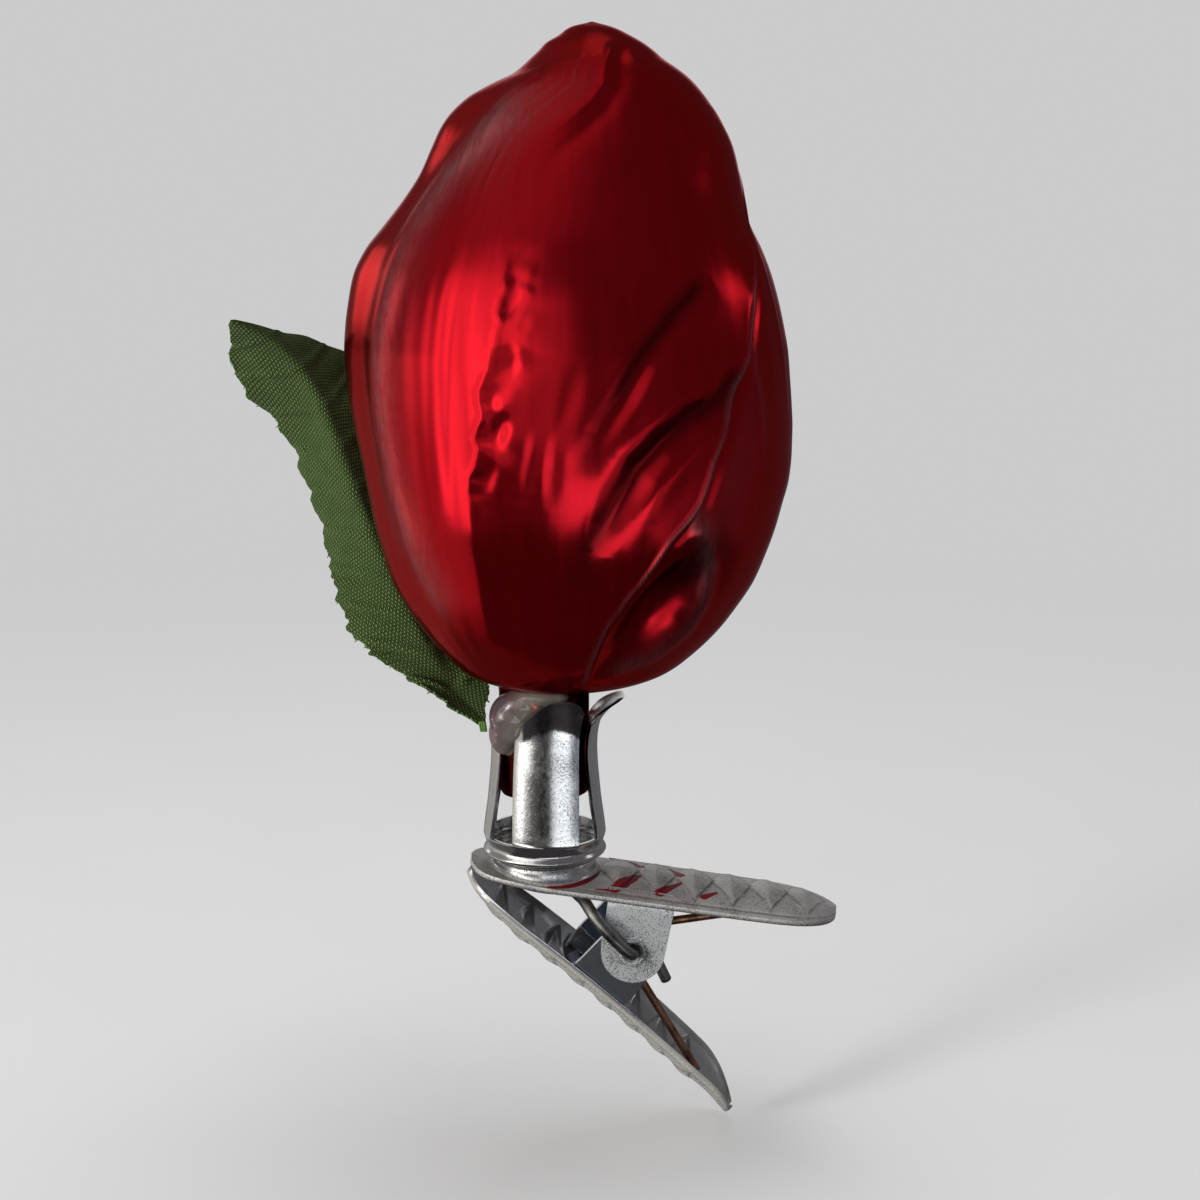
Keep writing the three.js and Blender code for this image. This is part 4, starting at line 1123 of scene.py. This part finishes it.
def build_collar():
    b = Build()
    n_a = 192
    a = np.linspace(0, 2 * math.pi, n_a, endpoint=False)
    prof = [(1.55, 1.75), (4.6, 1.75), (5.5, 1.75), (5.95, 1.8), (6.2, 1.95), (6.28, 2.12), (6.22, 2.3), (6.06, 2.5), (5.98, 2.75), (6.0, 3.05), (6.1, 3.4), (6.21, 3.7), (6.26, RING_TOP)]
    inner = [(r - (0.0 if i < 2 else 0.42 * min(1, (i - 1) / 3)), z + 0.45 * (1 if i < 4 else max(0, 1 - (i - 3) / 3)))
             for i, (r, z) in enumerate(prof)]
    rows = [np.stack([CUP_X + r * np.cos(a), r * np.sin(a), z + 0 * a], -1) for r, z in prof + inner[::-1]]
    g = np.array(rows)
    faces = grid_faces(len(g), n_a, wrap_u=True, wrap_v=True)
    v = g.reshape(-1, 3)
    f = faces[6 * n_a]
    nn = np.cross(v[f[1]] - v[f[0]], v[f[2]] - v[f[0]])
    if nn @ (v[f].mean(0) - [CUP_X, 0, v[f].mean(0)[2]]) < 0:
        faces = [q[::-1] for q in faces]
    b.add(v, faces)
    # prongs: angle of the middle, half width, extra height, flare, corner radii
    for deg, half, top, flare, left, right in ((270, 3.55, 19.15, 1.0, 3.4, 1.1), (0, 3.2, 18.1, 1.25, 1.6, 1.6),
                                               (90, 3.2, 17.8, 0.9, 1.6, 1.6), (180, 3.2, 16.9, 0.35, 1.6, 1.6)):
        w = np.sin(np.linspace(-1, 1, 33) * math.pi / 2)
        x = w * half + (0.25 if deg == 270 else 0.0)
        cut = np.zeros_like(x)
        for edge, rad in ((-half, left), (half, right)):
            inside = rad - np.abs(x - edge)
            cut = np.maximum(cut, np.where(inside > 0, rad - np.sqrt(np.maximum(rad ** 2 - inside ** 2, 0)), 0))
        if deg == 270:  # its left corner nipped off in a soft curve
            cut = np.interp(x, [-3.3, -2.9, -2.4, -1.5, -0.7, 0.3, 1.6, 2.7, 3.4, 3.8], [4.1, 3.3, 2.7, 1.9, 0.95, 0.28, 0.0, 0.12, 0.6, 1.4])
        z_top = top - cut
        u = np.linspace(0, 1, 76) ** 1.15
        Z = 3.42 + (z_top[None, :] - 3.42) * u[:, None]
        X = np.broadcast_to(x, Z.shape)

        def sheet(off):
            r = PRONG_R(Z)
            if deg == 270:  # bent a little outwards and twisted to the left
                bend = np.minimum(0.30 * ((X - 1.2) / 1.5) ** 2, 1.4) * smooth(11.0, 14.5, Z)
                r = PRONG_FRONT_R(np.minimum(Z + bend, 19.3)) + (0.20 * X + 0.006 * X * X) * smooth(3.45, 4.0, Z)
            r = r + (flare - 1.0) * np.clip((Z - 14.2) / 3.7, 0, 1) ** 2 * 1.5 - off
            ang = X / PRONG_R(np.minimum(Z, 13.0)) * (PRONG_R(np.minimum(Z, 13.0)) / np.maximum(r + off, 5.4))
            q = math.radians(deg) + ang
            sweep = 0.55 * np.clip((Z - 13) / 4.9, 0, 1) ** 2
            return np.stack([CUP_X + sweep + r * np.cos(q), r * np.sin(q), Z], -1)

        b.add(*slab(sheet(0.02), sheet(0.44)))
    ob = b.object("prong_cup")
    soft_edges(ob, 0.10, 55)
    co = np.array([v.co for v in ob.data.vertices]) / MM
    # painted dark reflection: a dark band down the middle and right side of the front prong; painted shade on the
    # inside of the right prong's flare
    inward = np.array([v.normal.x for v in ob.data.vertices]) < 0.2
    painted_dark_reflection = np.maximum(np.exp(-((co[:, 0] - 7.8) / 1.1) ** 2), 0.75 * smooth(9.9, 10.9, co[:, 0])) * (co[:, 1] < -3) * smooth(3.9, 5.5, co[:, 2])
    point_attribute(ob, "painted_dark_reflection", np.maximum(painted_dark_reflection, 0.9 * smooth(15.0, 16.2, co[:, 2]) * (co[:, 0] > 12.2) * inward))
    ob.data.materials.append(tin("tin_cup", speck=0.6, brush=1.0, gloss=0.075, painted_dark_reflection=True))
    return ob


def build_rivet():
    prof = [(0, 0.05), (1.5, 0.05), (1.9, 0.12), (2.2, 0.3), (2.3, 0.5), (2.25, 0.65), (1.3, 0.68), (1.2, 0.9), (1.2, 2.3), (1.32, 2.58),
            (2.3, 2.6), (2.4, 2.7), (2.34, 2.86), (2.05, 3.05), (1.5, 3.18), (0.8, 3.24), (0, 3.25)]
    ob = make("cup_rivet", *lathe(prof, 48, (CUP_X, 0)), angle=50)
    ob.data.materials.append(tin("tin_rivet", speck=0.3))
    return ob


# ================================================================ wires
PIN_PATH = [
    (11.0, -3.2, -1.85), (11.75, -4.7, -2.05), (12.6, -6.0, -2.95), (13.7, -6.85, -4.2), (15.5, -6.95, -6.1), (16.45, -6.85, -6.9), (16.65, -6.2, -7.06),
    (16.65, -3.5, -7.06), (16.65, 0, -7.06), (16.65, 3.5, -7.06), (16.65, 6.2, -7.06), (16.85, 6.85, -7.35), (17.8, 7.0, -9.4),
    (19.2, 7.0, -12.4), (20.5, 6.9, -15.2),
]


def build_pin():
    path = resample(catmull(PIN_PATH, np.linspace(0, 1, 800), 0.4), 0.16)
    ob = make("pin_wire", *tube(path, 0.60, 24))
    ob.data.materials.append(wire_metal("steel_wire", (0.36, 0.355, 0.34, 1), (0.15, 0.145, 0.135, 1), 0.26))
    return ob


def build_spring():
    R, yu, yl = 1.8, -3.4, -0.2
    gap = 0.82
    t = lambda y, w: abs(y) / w
    upper_end = place(UPPER, 27.5, yu, 1.3 * (1 - t(yu, 6.0) ** 2.4) - gap - 0.2)
    bow = 0.7 * math.sin(math.pi * (31 - LOWER_START) / (LOWER_END - LOWER_START))
    lower_end = place(LOWER, 31.0, yl, bow - 2.2 * (1 - t(yl, 5.1) ** 2.4) + gap)

    def tangent(end, sign):
        dx, dz = end[0] - PIVOT[0], end[2] - PIVOT[1]
        return math.atan2(dz, dx) + sign * math.acos(R / math.hypot(dx, dz))

    a0, a1 = tangent(upper_end, 1), tangent(lower_end, -1)
    while a1 < a0 + 4 * math.pi:
        a1 += 2 * math.pi
    f = np.linspace(0, 1, 220)
    a = a0 + f * (a1 - a0)
    coil = np.stack([PIVOT[0] + R * np.cos(a), yu + (yl - yu) * f, PIVOT[1] + R * np.sin(a)], 1)
    path = np.vstack([upper_end + (coil[0] - upper_end) * np.linspace(0, 1, 40)[:-1, None], coil,
                      coil[-1] + (lower_end - coil[-1]) * np.linspace(0, 1, 50)[1:, None]])
    ob = make("spring_wire", *tube(resample(path, 0.14), 0.42, 18))
    ob.data.materials.append(wire_metal("copper_wire", (0.56, 0.30, 0.18, 1), (0.24, 0.12, 0.075, 1), 0.24))
    return ob


# ================================================================ leaf
LEAF_MIDRIB = [(1.9, -2.2, 15.9), (-1.6, 0.4, 18.7), (-5.7, 3.6, 25.3), (-9.8, 6.0, 33.3), (-12.9, 7.2, 41.0), (-15.6, 7.4, 48.2),
               (-19.2, 6.4, 53.0), (-23.6, 5.0, 55.3)]
LEAF_OUTER = [(1.5, -3.2, 15.5), (-4.2, -0.6, 18.8), (-11.6, 4.6, 23.1), (-14.8, 9.4, 29.6), (-16.7, 12.0, 36.6), (-19.6, 12.0, 43.4),
              (-23.8, 9.4, 49.2), (-23.9, 5.6, 54.8)]
LEAF_INNER = [(1.9, -1.5, 16.6), (1.5, 1.6, 19.3), (-3.2, 13.6, 26.4), (-5.4, 17.2, 34.0), (-6.6, 18.0, 41.4), (-9.4, 17.6, 47.6),
              (-14.2, 13.2, 51.8), (-23.1, 5.4, 55.4)]
LEAF_THICK = 0.28


def build_leaf():
    nu, nt = 210, 121
    u = np.linspace(0, 1, nu)
    t = np.linspace(-1, 1, nt)
    rib, outer, inner = (catmull(p, u) for p in (LEAF_MIDRIB, LEAF_OUTER, LEAF_INNER))
    length = np.concatenate([[0], np.cumsum(np.linalg.norm(np.diff(rib, axis=0), axis=1))])
    width_o = np.linalg.norm(outer - rib, axis=1)
    width_i = np.linalg.norm(inner - rib, axis=1)
    # rounded saw-teeth and a ragged cut along both edges
    def teeth(phase, seed):
        saw = (length / 4.1 + phase) % 1.0
        big = 0.75 * (saw ** 0.8) * np.where(saw > 0.9, (1 - saw) / 0.1, 1)
        fine = 0.14 * wobble(length, 0 * length, 0 * length, 0.9, seed, 2) + 0.12 * wobble(length, 0 * length, 0 * length, 2.3, seed + 1, 1)
        return (big + fine) * smooth(0.02, 0.12, u) * smooth(1.0, 0.94, u) - 0.2
    cut_o, cut_i = teeth(0.2, 31), teeth(0.6, 41)
    U, T = np.meshgrid(u, t, indexing="ij")
    side = np.abs(T)
    edge = np.where((T < 0)[..., None], outer[:, None, :], inner[:, None, :])
    full = np.where(T < 0, width_o[:, None], width_i[:, None])
    cut = np.where(T < 0, cut_o[:, None], cut_i[:, None])
    reach = side * np.clip(1 + cut / np.maximum(full, 0.8), 0.6, 1.6)
    P = rib[:, None, :] + (edge - rib[:, None, :]) * reach[..., None]
    n = normals_of(P)
    # rounded fold, pressed veins, slack between them
    across = reach * full
    L = length[:, None] + 0 * T
    ridge = unit(P[nu // 2, nt // 2] - 0.5 * (P[nu // 2, 20] + P[nu // 2, -20]))
    towards = 1.0 if n[nu // 2, nt // 2] @ ridge > 0 else -1.0
    pitch = 4.6
    phase = (L - across * 0.62) / pitch
    v = np.abs((phase + 0.5) % 1.0 - 0.5) * pitch
    veins = 0.34 * np.exp(-(v / 0.42) ** 2) * smooth(0.3, 1.4, across) * smooth(1.0, 0.8, side)
    slack = 0.28 * np.cos(2 * math.pi * phase + math.pi) * smooth(0.5, 5.0, across) * 0.6
    ripple = 0.30 * wobble(P[..., 0], P[..., 1], P[..., 2], 9.0, 51, 2) * smooth(0.5, 4.0, across)
    gather = 0.075 * np.sin(2 * math.pi * (L - 0.35 * across) / 0.95 + 1.5 * wobble(P[..., 0], P[..., 1], P[..., 2], 6.0, 61, 2))
    ripple = ripple + gather * smooth(0.8, 2.5, across) * np.exp(-((U - 0.27) / 0.17) ** 2)
    fade = (smooth(0.0, 0.15, U) * smooth(1.0, 0.9, U))
    disp = towards * (veins + slack + ripple) * fade
    P = P + n * disp[..., None]
    soft = np.exp(-(across / 1.5) ** 2)[:, 1:-1, None]
    for _ in range(26):  # the fold is a soft roll, not a crease
        P[:, 1:-1] += soft * (0.5 * (P[:, 2:] + P[:, :-2]) - P[:, 1:-1])
    n = normals_of(P)
    top, bottom = P + n * LEAF_THICK / 2, P - n * LEAF_THICK / 2
    verts, faces = slab(top, bottom)
    ob = make("cloth_leaf", verts, faces)
    uvs = np.stack([np.sign(T) * across, L], -1).reshape(-1, 2)
    uvs = np.vstack([uvs, uvs])
    layer = ob.data.uv_layers.new(name="cloth")
    loops = np.zeros(len(ob.data.loops), np.int32)
    ob.data.loops.foreach_get("vertex_index", loops)
    layer.data.foreach_set("uv", uvs[loops].astype(np.float32).ravel())
    ob.data.materials.append(woven("green_cloth"))
    # flat size: the blade laid open
    arc = np.linalg.norm(np.diff(P, axis=1), axis=2).sum(1)
    flat = (float(arc.max()), float(np.linalg.norm(np.diff(P[:, nt // 2], axis=0), axis=1).sum()))
    a = np.cross(P[1:, 1:] - P[:-1, :-1], P[1:, :-1] - P[:-1, 1:])
    area = float(np.linalg.norm(a, axis=2).sum() / 2)
    # loose threads along the cut edges
    r = np.random.default_rng(77)
    b = Build()
    for col, sgn in ((0, -1), (nt - 1, 1)):
        inward = col + 3 if col == 0 else col - 3
        for i in range(6, nu - 4):
            for _ in range(2):
                if r.uniform() < (0.20 if sgn < 0 else 0.14):
                    p0 = P[i, col] * 0.85 + P[i, inward] * 0.15
                    out = unit(P[i, col] - P[i, inward])
                    along = unit(P[i + 1, col] - P[i - 1, col])
                    d = unit(out + along * r.normal(0, 0.55) + n[i, col] * r.normal(0, 0.35))
                    bend = unit(np.cross(d, r.normal(size=3)))
                    ln = r.uniform(0.12, 0.42) * (1.9 if r.uniform() < 0.08 else 1.0)
                    q = np.linspace(0, 1, 5)[:, None]
                    path = p0 + d * ln * q + bend * (0.3 * ln * q ** 2)
                    b.add(*tube(path, np.linspace(0.085, 0.05, 5), 5, 1))
    # the short tab at the leaf's foot
    tab = [(1.6, -2.9, 16.0), (1.7, -3.2, 15.6), (1.8, -3.5, 15.15)]
    path = catmull(tab, np.linspace(0, 1, 8))
    for k in range(6):
        off = np.array([0.11 * (k - 2.5), 0.04 * (k % 2), 0])
        b.add(*tube(path + off, np.linspace(0.12, 0.09, 8), 6, 1))
    fray = b.object("leaf_fray")
    fray.data.materials.append(fray_mat())
    return ob, fray, flat, area


# ================================================================ glue
GLUE_BLOBS = [  # centre, radii
    ((4.7, -3.0, 16.5), (2.45, 2.1, 2.6)), ((3.8, -2.6, 14.8), (1.6, 1.7, 2.3)), ((5.7, -3.4, 17.8), (2.5, 1.8, 1.75)),
    ((7.6, -4.2, 18.8), (2.7, 1.2, 0.9)), ((4.9, -2.2, 13.4), (1.3, 1.3, 1.4)), ((9.2, -4.4, 18.85), (1.2, 0.8, 0.6)),
]


def build_glue():
    b = Build()
    for c, r in GLUE_BLOBS:
        prof = [(math.sin(q) * 1.0, -math.cos(q)) for q in np.linspace(0, math.pi, 14)]
        v, f = lathe(prof, 20, (0, 0))
        b.add(v * np.array(r) + np.array(c), f)
    ob = b.object("glue_blob")
    modifier(ob, "REMESH", mode="VOXEL", voxel_size=0.16 * MM)
    modifier(ob, "SMOOTH", factor=0.5, iterations=24)
    apply_modifiers(ob)
    ob.data.polygons.foreach_set("use_smooth", [True] * len(ob.data.polygons))
    ob.data.materials.clear()
    ob.data.materials.append(glue())
    return ob


# ================================================================ put together
bud = build_bud()
upper_plate = build_upper_plate()
lower_plate = build_lower_plate()
cup = build_collar()
rivet = build_rivet()
pin = build_pin()
spring = build_spring()
leaf, fray, leaf_flat, leaf_area = build_leaf()
blob = build_glue()

for piece, node, slot, body in (
    (bud, "glass_bud", "red_glass", "upper"), (upper_plate, "upper_jaw", "tin", "upper"), (lower_plate, "lower_jaw", "tin", "lower"),
    (cup, "collar", "tin", "upper"), (rivet, "collar_rivet", "tin", "upper"), (pin, "hinge_pin", "steel_wire", "upper"),
    (leaf, "leaf", "green_cloth", "upper"), (blob, "glue_bead", "clear_glue", "upper"),
):
    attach(piece, body)
    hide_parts(node)
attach(fray, "upper")
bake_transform(spring)
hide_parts("torsion_spring")

# ---------------------------------------------------------------- stage, light, camera
floor_z = -28.2 * MM
me = bpy.data.meshes.new("floor")
me.from_pydata([(-6, -6, floor_z), (6, -6, floor_z), (6, 6, floor_z), (-6, 6, floor_z)], [], [(0, 1, 2, 3)])
floor = bpy.data.objects.new("floor", me)
bpy.context.scene.collection.objects.link(floor)
me.materials.append(pale_floor())
floor.visible_glossy = False

me = bpy.data.meshes.new("ground")
low = floor_z - 0.4 * MM
me.from_pydata([(-6, -6, low), (6, -6, low), (6, 6, low), (-6, 6, low)], [], [(0, 1, 2, 3)])
ground = bpy.data.objects.new("ground", me)
bpy.context.scene.collection.objects.link(ground)
me.materials.append(ground_glow(6.0))
for ray in ("camera", "diffuse", "transmission", "shadow", "volume_scatter"):
    setattr(ground, "visible_" + ray, False)

world = bpy.data.worlds.new("studio")
bpy.context.scene.world = world
world.use_nodes = True
wt = world.node_tree
wt.nodes.clear()


def wnode(kind, props=None, **inputs):
    n = wt.nodes.new(kind)
    for k, v in (props or {}).items():
        setattr(n, k, v)
    for k, v in inputs.items():
        s = n.inputs[k.replace("_", " ")] if not k.startswith("i") or not k[1:].isdigit() else n.inputs[int(k[1:])]
        if isinstance(v, bpy.types.NodeSocket):
            wt.links.new(v, s)
        else:
            s.default_value = v
    return n


direction = wnode("ShaderNodeTexCoord").outputs["Generated"]


def lobe(towards, inner, outer):
    """1 inside a cone of directions, falling to 0 at its outer edge."""
    d = wnode("ShaderNodeVectorMath", {"operation": "DOT_PRODUCT"}, i0=direction, i1=tuple(unit(towards)))
    r = wnode("ShaderNodeMapRange", {"interpolation_type": "SMOOTHSTEP"}, Value=d.outputs["Value"],
              From_Min=math.cos(math.radians(outer)), From_Max=math.cos(math.radians(inner)), To_Min=0.0, To_Max=1.0)
    return r.outputs[0]


def wmix(f, a, b):
    n = wnode("ShaderNodeMix", {"data_type": "RGBA"}, i0=f)
    for k, v in ((6, a), (7, b)):
        if isinstance(v, bpy.types.NodeSocket):
            wt.links.new(v, n.inputs[k])
        else:
            n.inputs[k].default_value = v
    return n.outputs[2]


def toward(azimuth, elevation):
    """Direction by azimuth from the front (to the right positive) and height above the horizon, in degrees."""
    a, e = math.radians(azimuth), math.radians(elevation)
    return (math.sin(a) * math.cos(e), -math.cos(a) * math.cos(e), math.sin(e))


parts = wnode("ShaderNodeSeparateXYZ", i0=direction).outputs


def wmath(op, a, b=0.0):
    return wnode("ShaderNodeMath", {"operation": op}, i0=a, i1=b).outputs[0]


def wramp(v, a, b):
    """0 at a, 1 at b, smooth between."""
    up = a < b
    r = wnode("ShaderNodeMapRange", {"interpolation_type": "SMOOTHSTEP"}, Value=v, From_Min=min(a, b), From_Max=max(a, b),
              To_Min=0.0 if up else 1.0, To_Max=1.0 if up else 0.0)
    return r.outputs[0]


azimuth = wmath("MULTIPLY", wmath("ARCTAN2", parts[0], wmath("MULTIPLY", parts[1], -1.0)), 57.2958)
elevation = wmath("MULTIPLY", wmath("ARCSINE", parts[2]), 57.2958)


def pane(a0, a1, e0, e1, sa, se0, se1):
    """1 inside a window of azimuth and height, soft at its sides."""
    f = wmath("MULTIPLY", wramp(azimuth, a0 - sa, a0 + sa), wramp(azimuth, a1 + sa, a1 - sa))
    f = wmath("MULTIPLY", f, wramp(elevation, e0 - se0, e0 + se0))
    return wmath("MULTIPLY", f, wramp(elevation, e1 + se1, e1 - se1))


room = wmix(lobe(toward(-75, 60), 12, 52), (0.112, 0.107, 0.118, 1), (0.37, 0.36, 0.35, 1))
room = wmix(pane(-160, -86, -60, 50, 22, 8, 20), room, (0.23, 0.222, 0.222, 1))
room = wmix(pane(16, 33, -30, -2, 6, 4, 6), room, (0.60, 0.62, 0.66, 1))
room = wmix(lobe(toward(180, 11), 8, 24), room, (0.72, 0.71, 0.70, 1))
room = wmix(pane(-52, 1, -45, 30, 9, 4, 12), room, (0.62, 0.61, 0.60, 1))
room = wmix(pane(-52, -11, 3, 20, 8, 4, 12), room, (1.12, 1.08, 1.05, 1))
window = wmath("MULTIPLY", wramp(wmath("SUBTRACT", azimuth, wmath("MULTIPLY", wmath("MINIMUM", wmath("SUBTRACT", elevation, 5.0), 12.0), 0.95)), -24.0, -38.0),
               wramp(wmath("SUBTRACT", azimuth, wmath("MULTIPLY", wmath("MAXIMUM", wmath("SUBTRACT", elevation, 10.0), 0.0), 0.6)), -88.0, -66.0))
window = wmath("MULTIPLY", window, wramp(elevation, 50.0, 26.0))
room = wmix(window, room, (1.30, 1.25, 1.21, 1))
room = wmix(wmath("MULTIPLY", window, pane(-72, -60, -50, 24, 6, 4, 16)), room, (2.1, 2.02, 1.95, 1))
room = wmix(wmath("MULTIPLY", window, pane(-51, -42, -50, 24, 4, 4, 16)), room, (2.6, 2.5, 2.4, 1))
room = wmix(pane(-4, 25, -50, -17, 5, 3, 8), room, (1.5, 1.55, 1.62, 1))
room = wmix(wmath("MULTIPLY", wramp(elevation, -30.5, -32.5), wmath("MULTIPLY", wramp(azimuth, -89.0, -82.0), wramp(azimuth, 130.0, 95.0))),
            room, (0.045, 0.040, 0.041, 1))
room = wmix(lobe((0, 0, -1), 12, 30), room, (0.075, 0.07, 0.07, 1))
room = wmix(lobe(toward(-135, 13), 1, 13), room, (1.7, 1.62, 1.58, 1))
room = wmix(pane(92, 103, 18.5, 24.5, 4, 2, 2), room, (1.5, 1.45, 1.4, 1))
room = wmix(lobe(toward(172, 63), 4, 12), room, (0.5, 0.48, 0.48, 1))
path = wnode("ShaderNodeLightPath").outputs
seen = path["Is Camera Ray"]
colour = wmix(seen, room, BACKDROP)
bg = wnode("ShaderNodeBackground", Color=colour, Strength=wmath("SUBTRACT", 1.0, wmath("MULTIPLY", path["Is Diffuse Ray"], 0.4)))
wt.links.new(bg.outputs[0], wnode("ShaderNodeOutputWorld").inputs[0])


def area(name, at, towards, size, power, colour=(1, 1, 1), size_y=None):
    d = bpy.data.lights.new(name, "AREA")
    d.energy = power
    d.color = colour
    d.shape = "RECTANGLE"
    d.size = size
    d.size_y = size_y or size
    o = bpy.data.objects.new(name, d)
    bpy.context.scene.collection.objects.link(o)
    o.location = Vector(at)
    o.rotation_euler = (Vector(towards) - Vector(at)).to_track_quat("-Z", "Y").to_euler()
    o.visible_camera = False
    return o


centre = Vector((0.010, 0.0, 0.045))
area("key", centre + 0.7 * Vector(toward(-53, 3)), centre, 0.15, 6.0, (1.0, 0.96, 0.90), 0.20).visible_glossy = False
area("top", (0.05, 0.10, 0.75), (0.0, 0.0, 0.0), 0.5, 3.0, (0.97, 0.98, 1.0)).visible_glossy = False

cam = bpy.data.cameras.new("camera")
cam.lens = 54.0
cam.sensor_width = 36.0
cam.clip_start = 0.005
cam.clip_end = 60.0
camera = bpy.data.objects.new("camera", cam)
bpy.context.scene.collection.objects.link(camera)
tilt = math.radians(10.5)
camera.location = (0.01335, -0.18 * math.cos(tilt), 0.0278 + 0.18 * math.sin(tilt))
camera.rotation_euler = (math.radians(90) - tilt, 0, 0)
bpy.context.scene.camera = camera

bpy.context.scene.view_settings.view_transform = "Standard"
